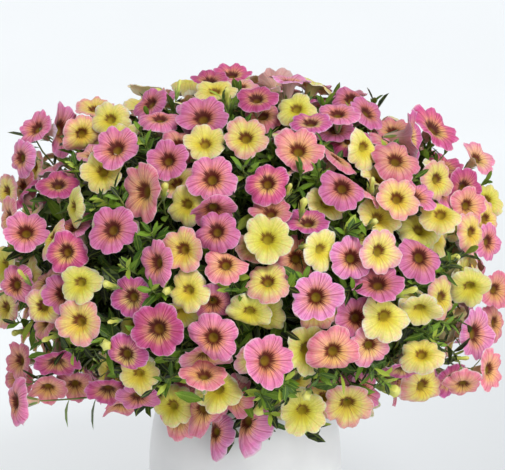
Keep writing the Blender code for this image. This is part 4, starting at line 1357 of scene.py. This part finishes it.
# The buds: flowers still rolled shut, ribbed and slightly twisted, in a green calyx.
# They stand on stalks of their own between the open flowers, at every stage of growth.
BUD_PROFILE = (
    (0.0, -0.0062), (0.0010, -0.0060), (0.0021, -0.0020), (0.0021, 0.0010), (0.0017, 0.0035),
    (0.0019, 0.0065), (0.0026, 0.0100), (0.0019, 0.0122), (0.0008, 0.0130), (0.0, 0.0131),
)
BUD_SEPALS, BUD_SEPAL_TIP = ((0.0020, 0.0007, -0.0015), (0.0032, 0.0009, 0.0025)), (0.0042, 0.0062)
BUD_FOOT, BUD_WHOLE, BUD_TWIST = 0.0062, 0.0193, 55


def bud_shape(number, thick, bulge):
    """A bud along +Z from its calyx: ribs that twist, and five short sepals round its foot."""
    points, faces = turned(BUD_PROFILE, 10)
    for point in points:
        if point.z > 0.002:
            angle = math.atan2(point.y, point.x)
            far = math.hypot(point.x, point.y) * thick * (1 + 0.16 * math.cos(5 * angle))
            far *= bulge if 0.006 < point.z < 0.0125 else 1.0
            angle += BUD_TWIST * point.z
            point.x, point.y = far * math.cos(angle), far * math.sin(angle)
    add_sepals(points, faces, BUD_SEPALS, BUD_SEPAL_TIP)
    heights = [points[corner].z for face in faces for corner in face]
    uv = [((number + 0.5) / 3, 0.03 + 0.94 * (height + BUD_FOOT) / BUD_WHOLE) for height in heights]
    return faced_outwards(new_piece("bud", points, faces, corner_places=uv, sharp=80))


# Closed bud: green calyx below, yellow-green above.
bud_finish, tree, shader = new_finish("closed_bud", 0.5, Sheen_Weight=0.2)
where = add_node(tree, "UVMap", uv_map="OFBake").outputs[0]
sheet = add_node(tree, "SeparateXYZ", {0: where})
tone = add_node(
    tree, "ValToRGB", {0: sheet.outputs[1]},
    stops=((0.0, "#6F8F3E"), (1.0, "#DDD97A"), (0.34, "#8CA648"), (0.50, "#BDC652"), (0.8, "#D2D45C")),
)
grain = add_node(tree, "TexNoise", {"Vector": where, "Scale": 50.0, "Detail": 3.0})
shade = add_node(tree, "MapRange", {0: grain, 1: 0.3, 2: 0.7, 3: 0.86, 4: 1.10})
shaded = add_node(tree, "VectorMath", {0: tone, 3: shade}, operation="SCALE")
tree.links.new(shaded.outputs[0], shader.inputs["Base Color"])

places = []
for (kind, spot, way, size, _, _), spin in zip(heads, spins):
    if kind == "bud":
        places.append((spot, flower_turn(way, spin), (size, size, size), chance.randrange(3)))
shapes = [bud_shape(n, t, b) for n, (t, b) in enumerate(((0.8, 0.9), (1.0, 1.1), (1.15, 1.3)))]
closed_buds = copies("closed_buds", shapes, places, bud_finish, "bud_green")
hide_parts(*(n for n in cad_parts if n.startswith("bud_")))


# The floor: a plain pale sweep that the pot stands on, curved up far behind it.
profile = [(-3.0, 0.0), (2.2, 0.0)]
for turn in np.linspace(10, 80, 8):
    profile.append((2.2 + 1.5 * math.sin(math.radians(turn)), 1.5 - 1.5 * math.cos(math.radians(turn))))
profile += [(3.7, 1.6), (3.7, 5.0)]
points = [(side * 6.0, y, z) for y, z in profile for side in (-1, 1)]
faces = [(2 * n, 2 * n + 1, 2 * n + 3, 2 * n + 2) for n in range(len(profile) - 1)]

# Matt paper with painted light: it glows, more to the left and towards the back, to even out the lamps' light
# and shadow on it.
floor_finish = mottled_finish(
    "pale_paper_painted_glow", 0.9, (3.0, 2.0), ((0.3, "#86898B"), (0.7, "#898C8E")), Emission_Color=colour("#EFF2F4")
)
tree = floor_finish.node_tree
place = add_node(tree, "TexCoord").outputs["Object"]
away = add_node(tree, "VectorMath", {0: place, 1: (-2.2, 1.0, 0.0)}, operation="DOT_PRODUCT")
painted_glow = add_node(tree, "MapRange", {0: away, 1: -0.3, 2: 0.95, 3: 0.58, 4: 0.80})
behind = add_node(tree, "SeparateXYZ", {0: place})
behind = add_node(tree, "MapRange", {0: behind.outputs[1], 1: 1.0, 2: 3.0, 3: 0.0, 4: 0.10})
painted_glow = add_node(tree, "Math", {0: painted_glow, 1: behind}, operation="SUBTRACT")
tree.links.new(painted_glow.outputs[0], tree.nodes["Principled BSDF"].inputs["Emission Strength"])
floor = new_piece("floor_sweep", points, faces, floor_finish)


# The studio: a pale even surround, one big soft light high on the right and a softer low one.
world = bpy.data.worlds.new("pale_surround")
bpy.context.scene.world = world
world.use_nodes = True
surround = world.node_tree.nodes["Background"]
surround.inputs["Color"].default_value = colour("#F2F5FA")
surround.inputs["Strength"].default_value = 0.35
for name, place, power, softness in (
    ("key_light", (0.8, -1.7, 2.1), 1.70, 20),
    ("fill_light", (1.15, -1.8, 0.4), 1.40, 50),
):
    lamp = bpy.data.lights.new(name, "SUN")
    lamp.energy, lamp.angle = power, math.radians(softness)
    holder = new_object(name, lamp)
    holder.location = place
    holder.rotation_euler = (-Vector(place)).to_track_quat("-Z", "Y").to_euler()
bpy.context.scene.view_settings.view_transform = "Standard"


# The camera: about 1.5 m in front of the plant and a little above it, with a long lens.
lens = bpy.data.cameras.new("camera")
lens.sensor_width = 36.0
lens.lens = 36.0 / SPREAD
lens.clip_end = 50.0
camera = new_object("camera", lens)
camera.location = EYE
camera.rotation_euler = AHEAD.to_track_quat("-Z", "Y").to_euler()
bpy.context.scene.camera = camera
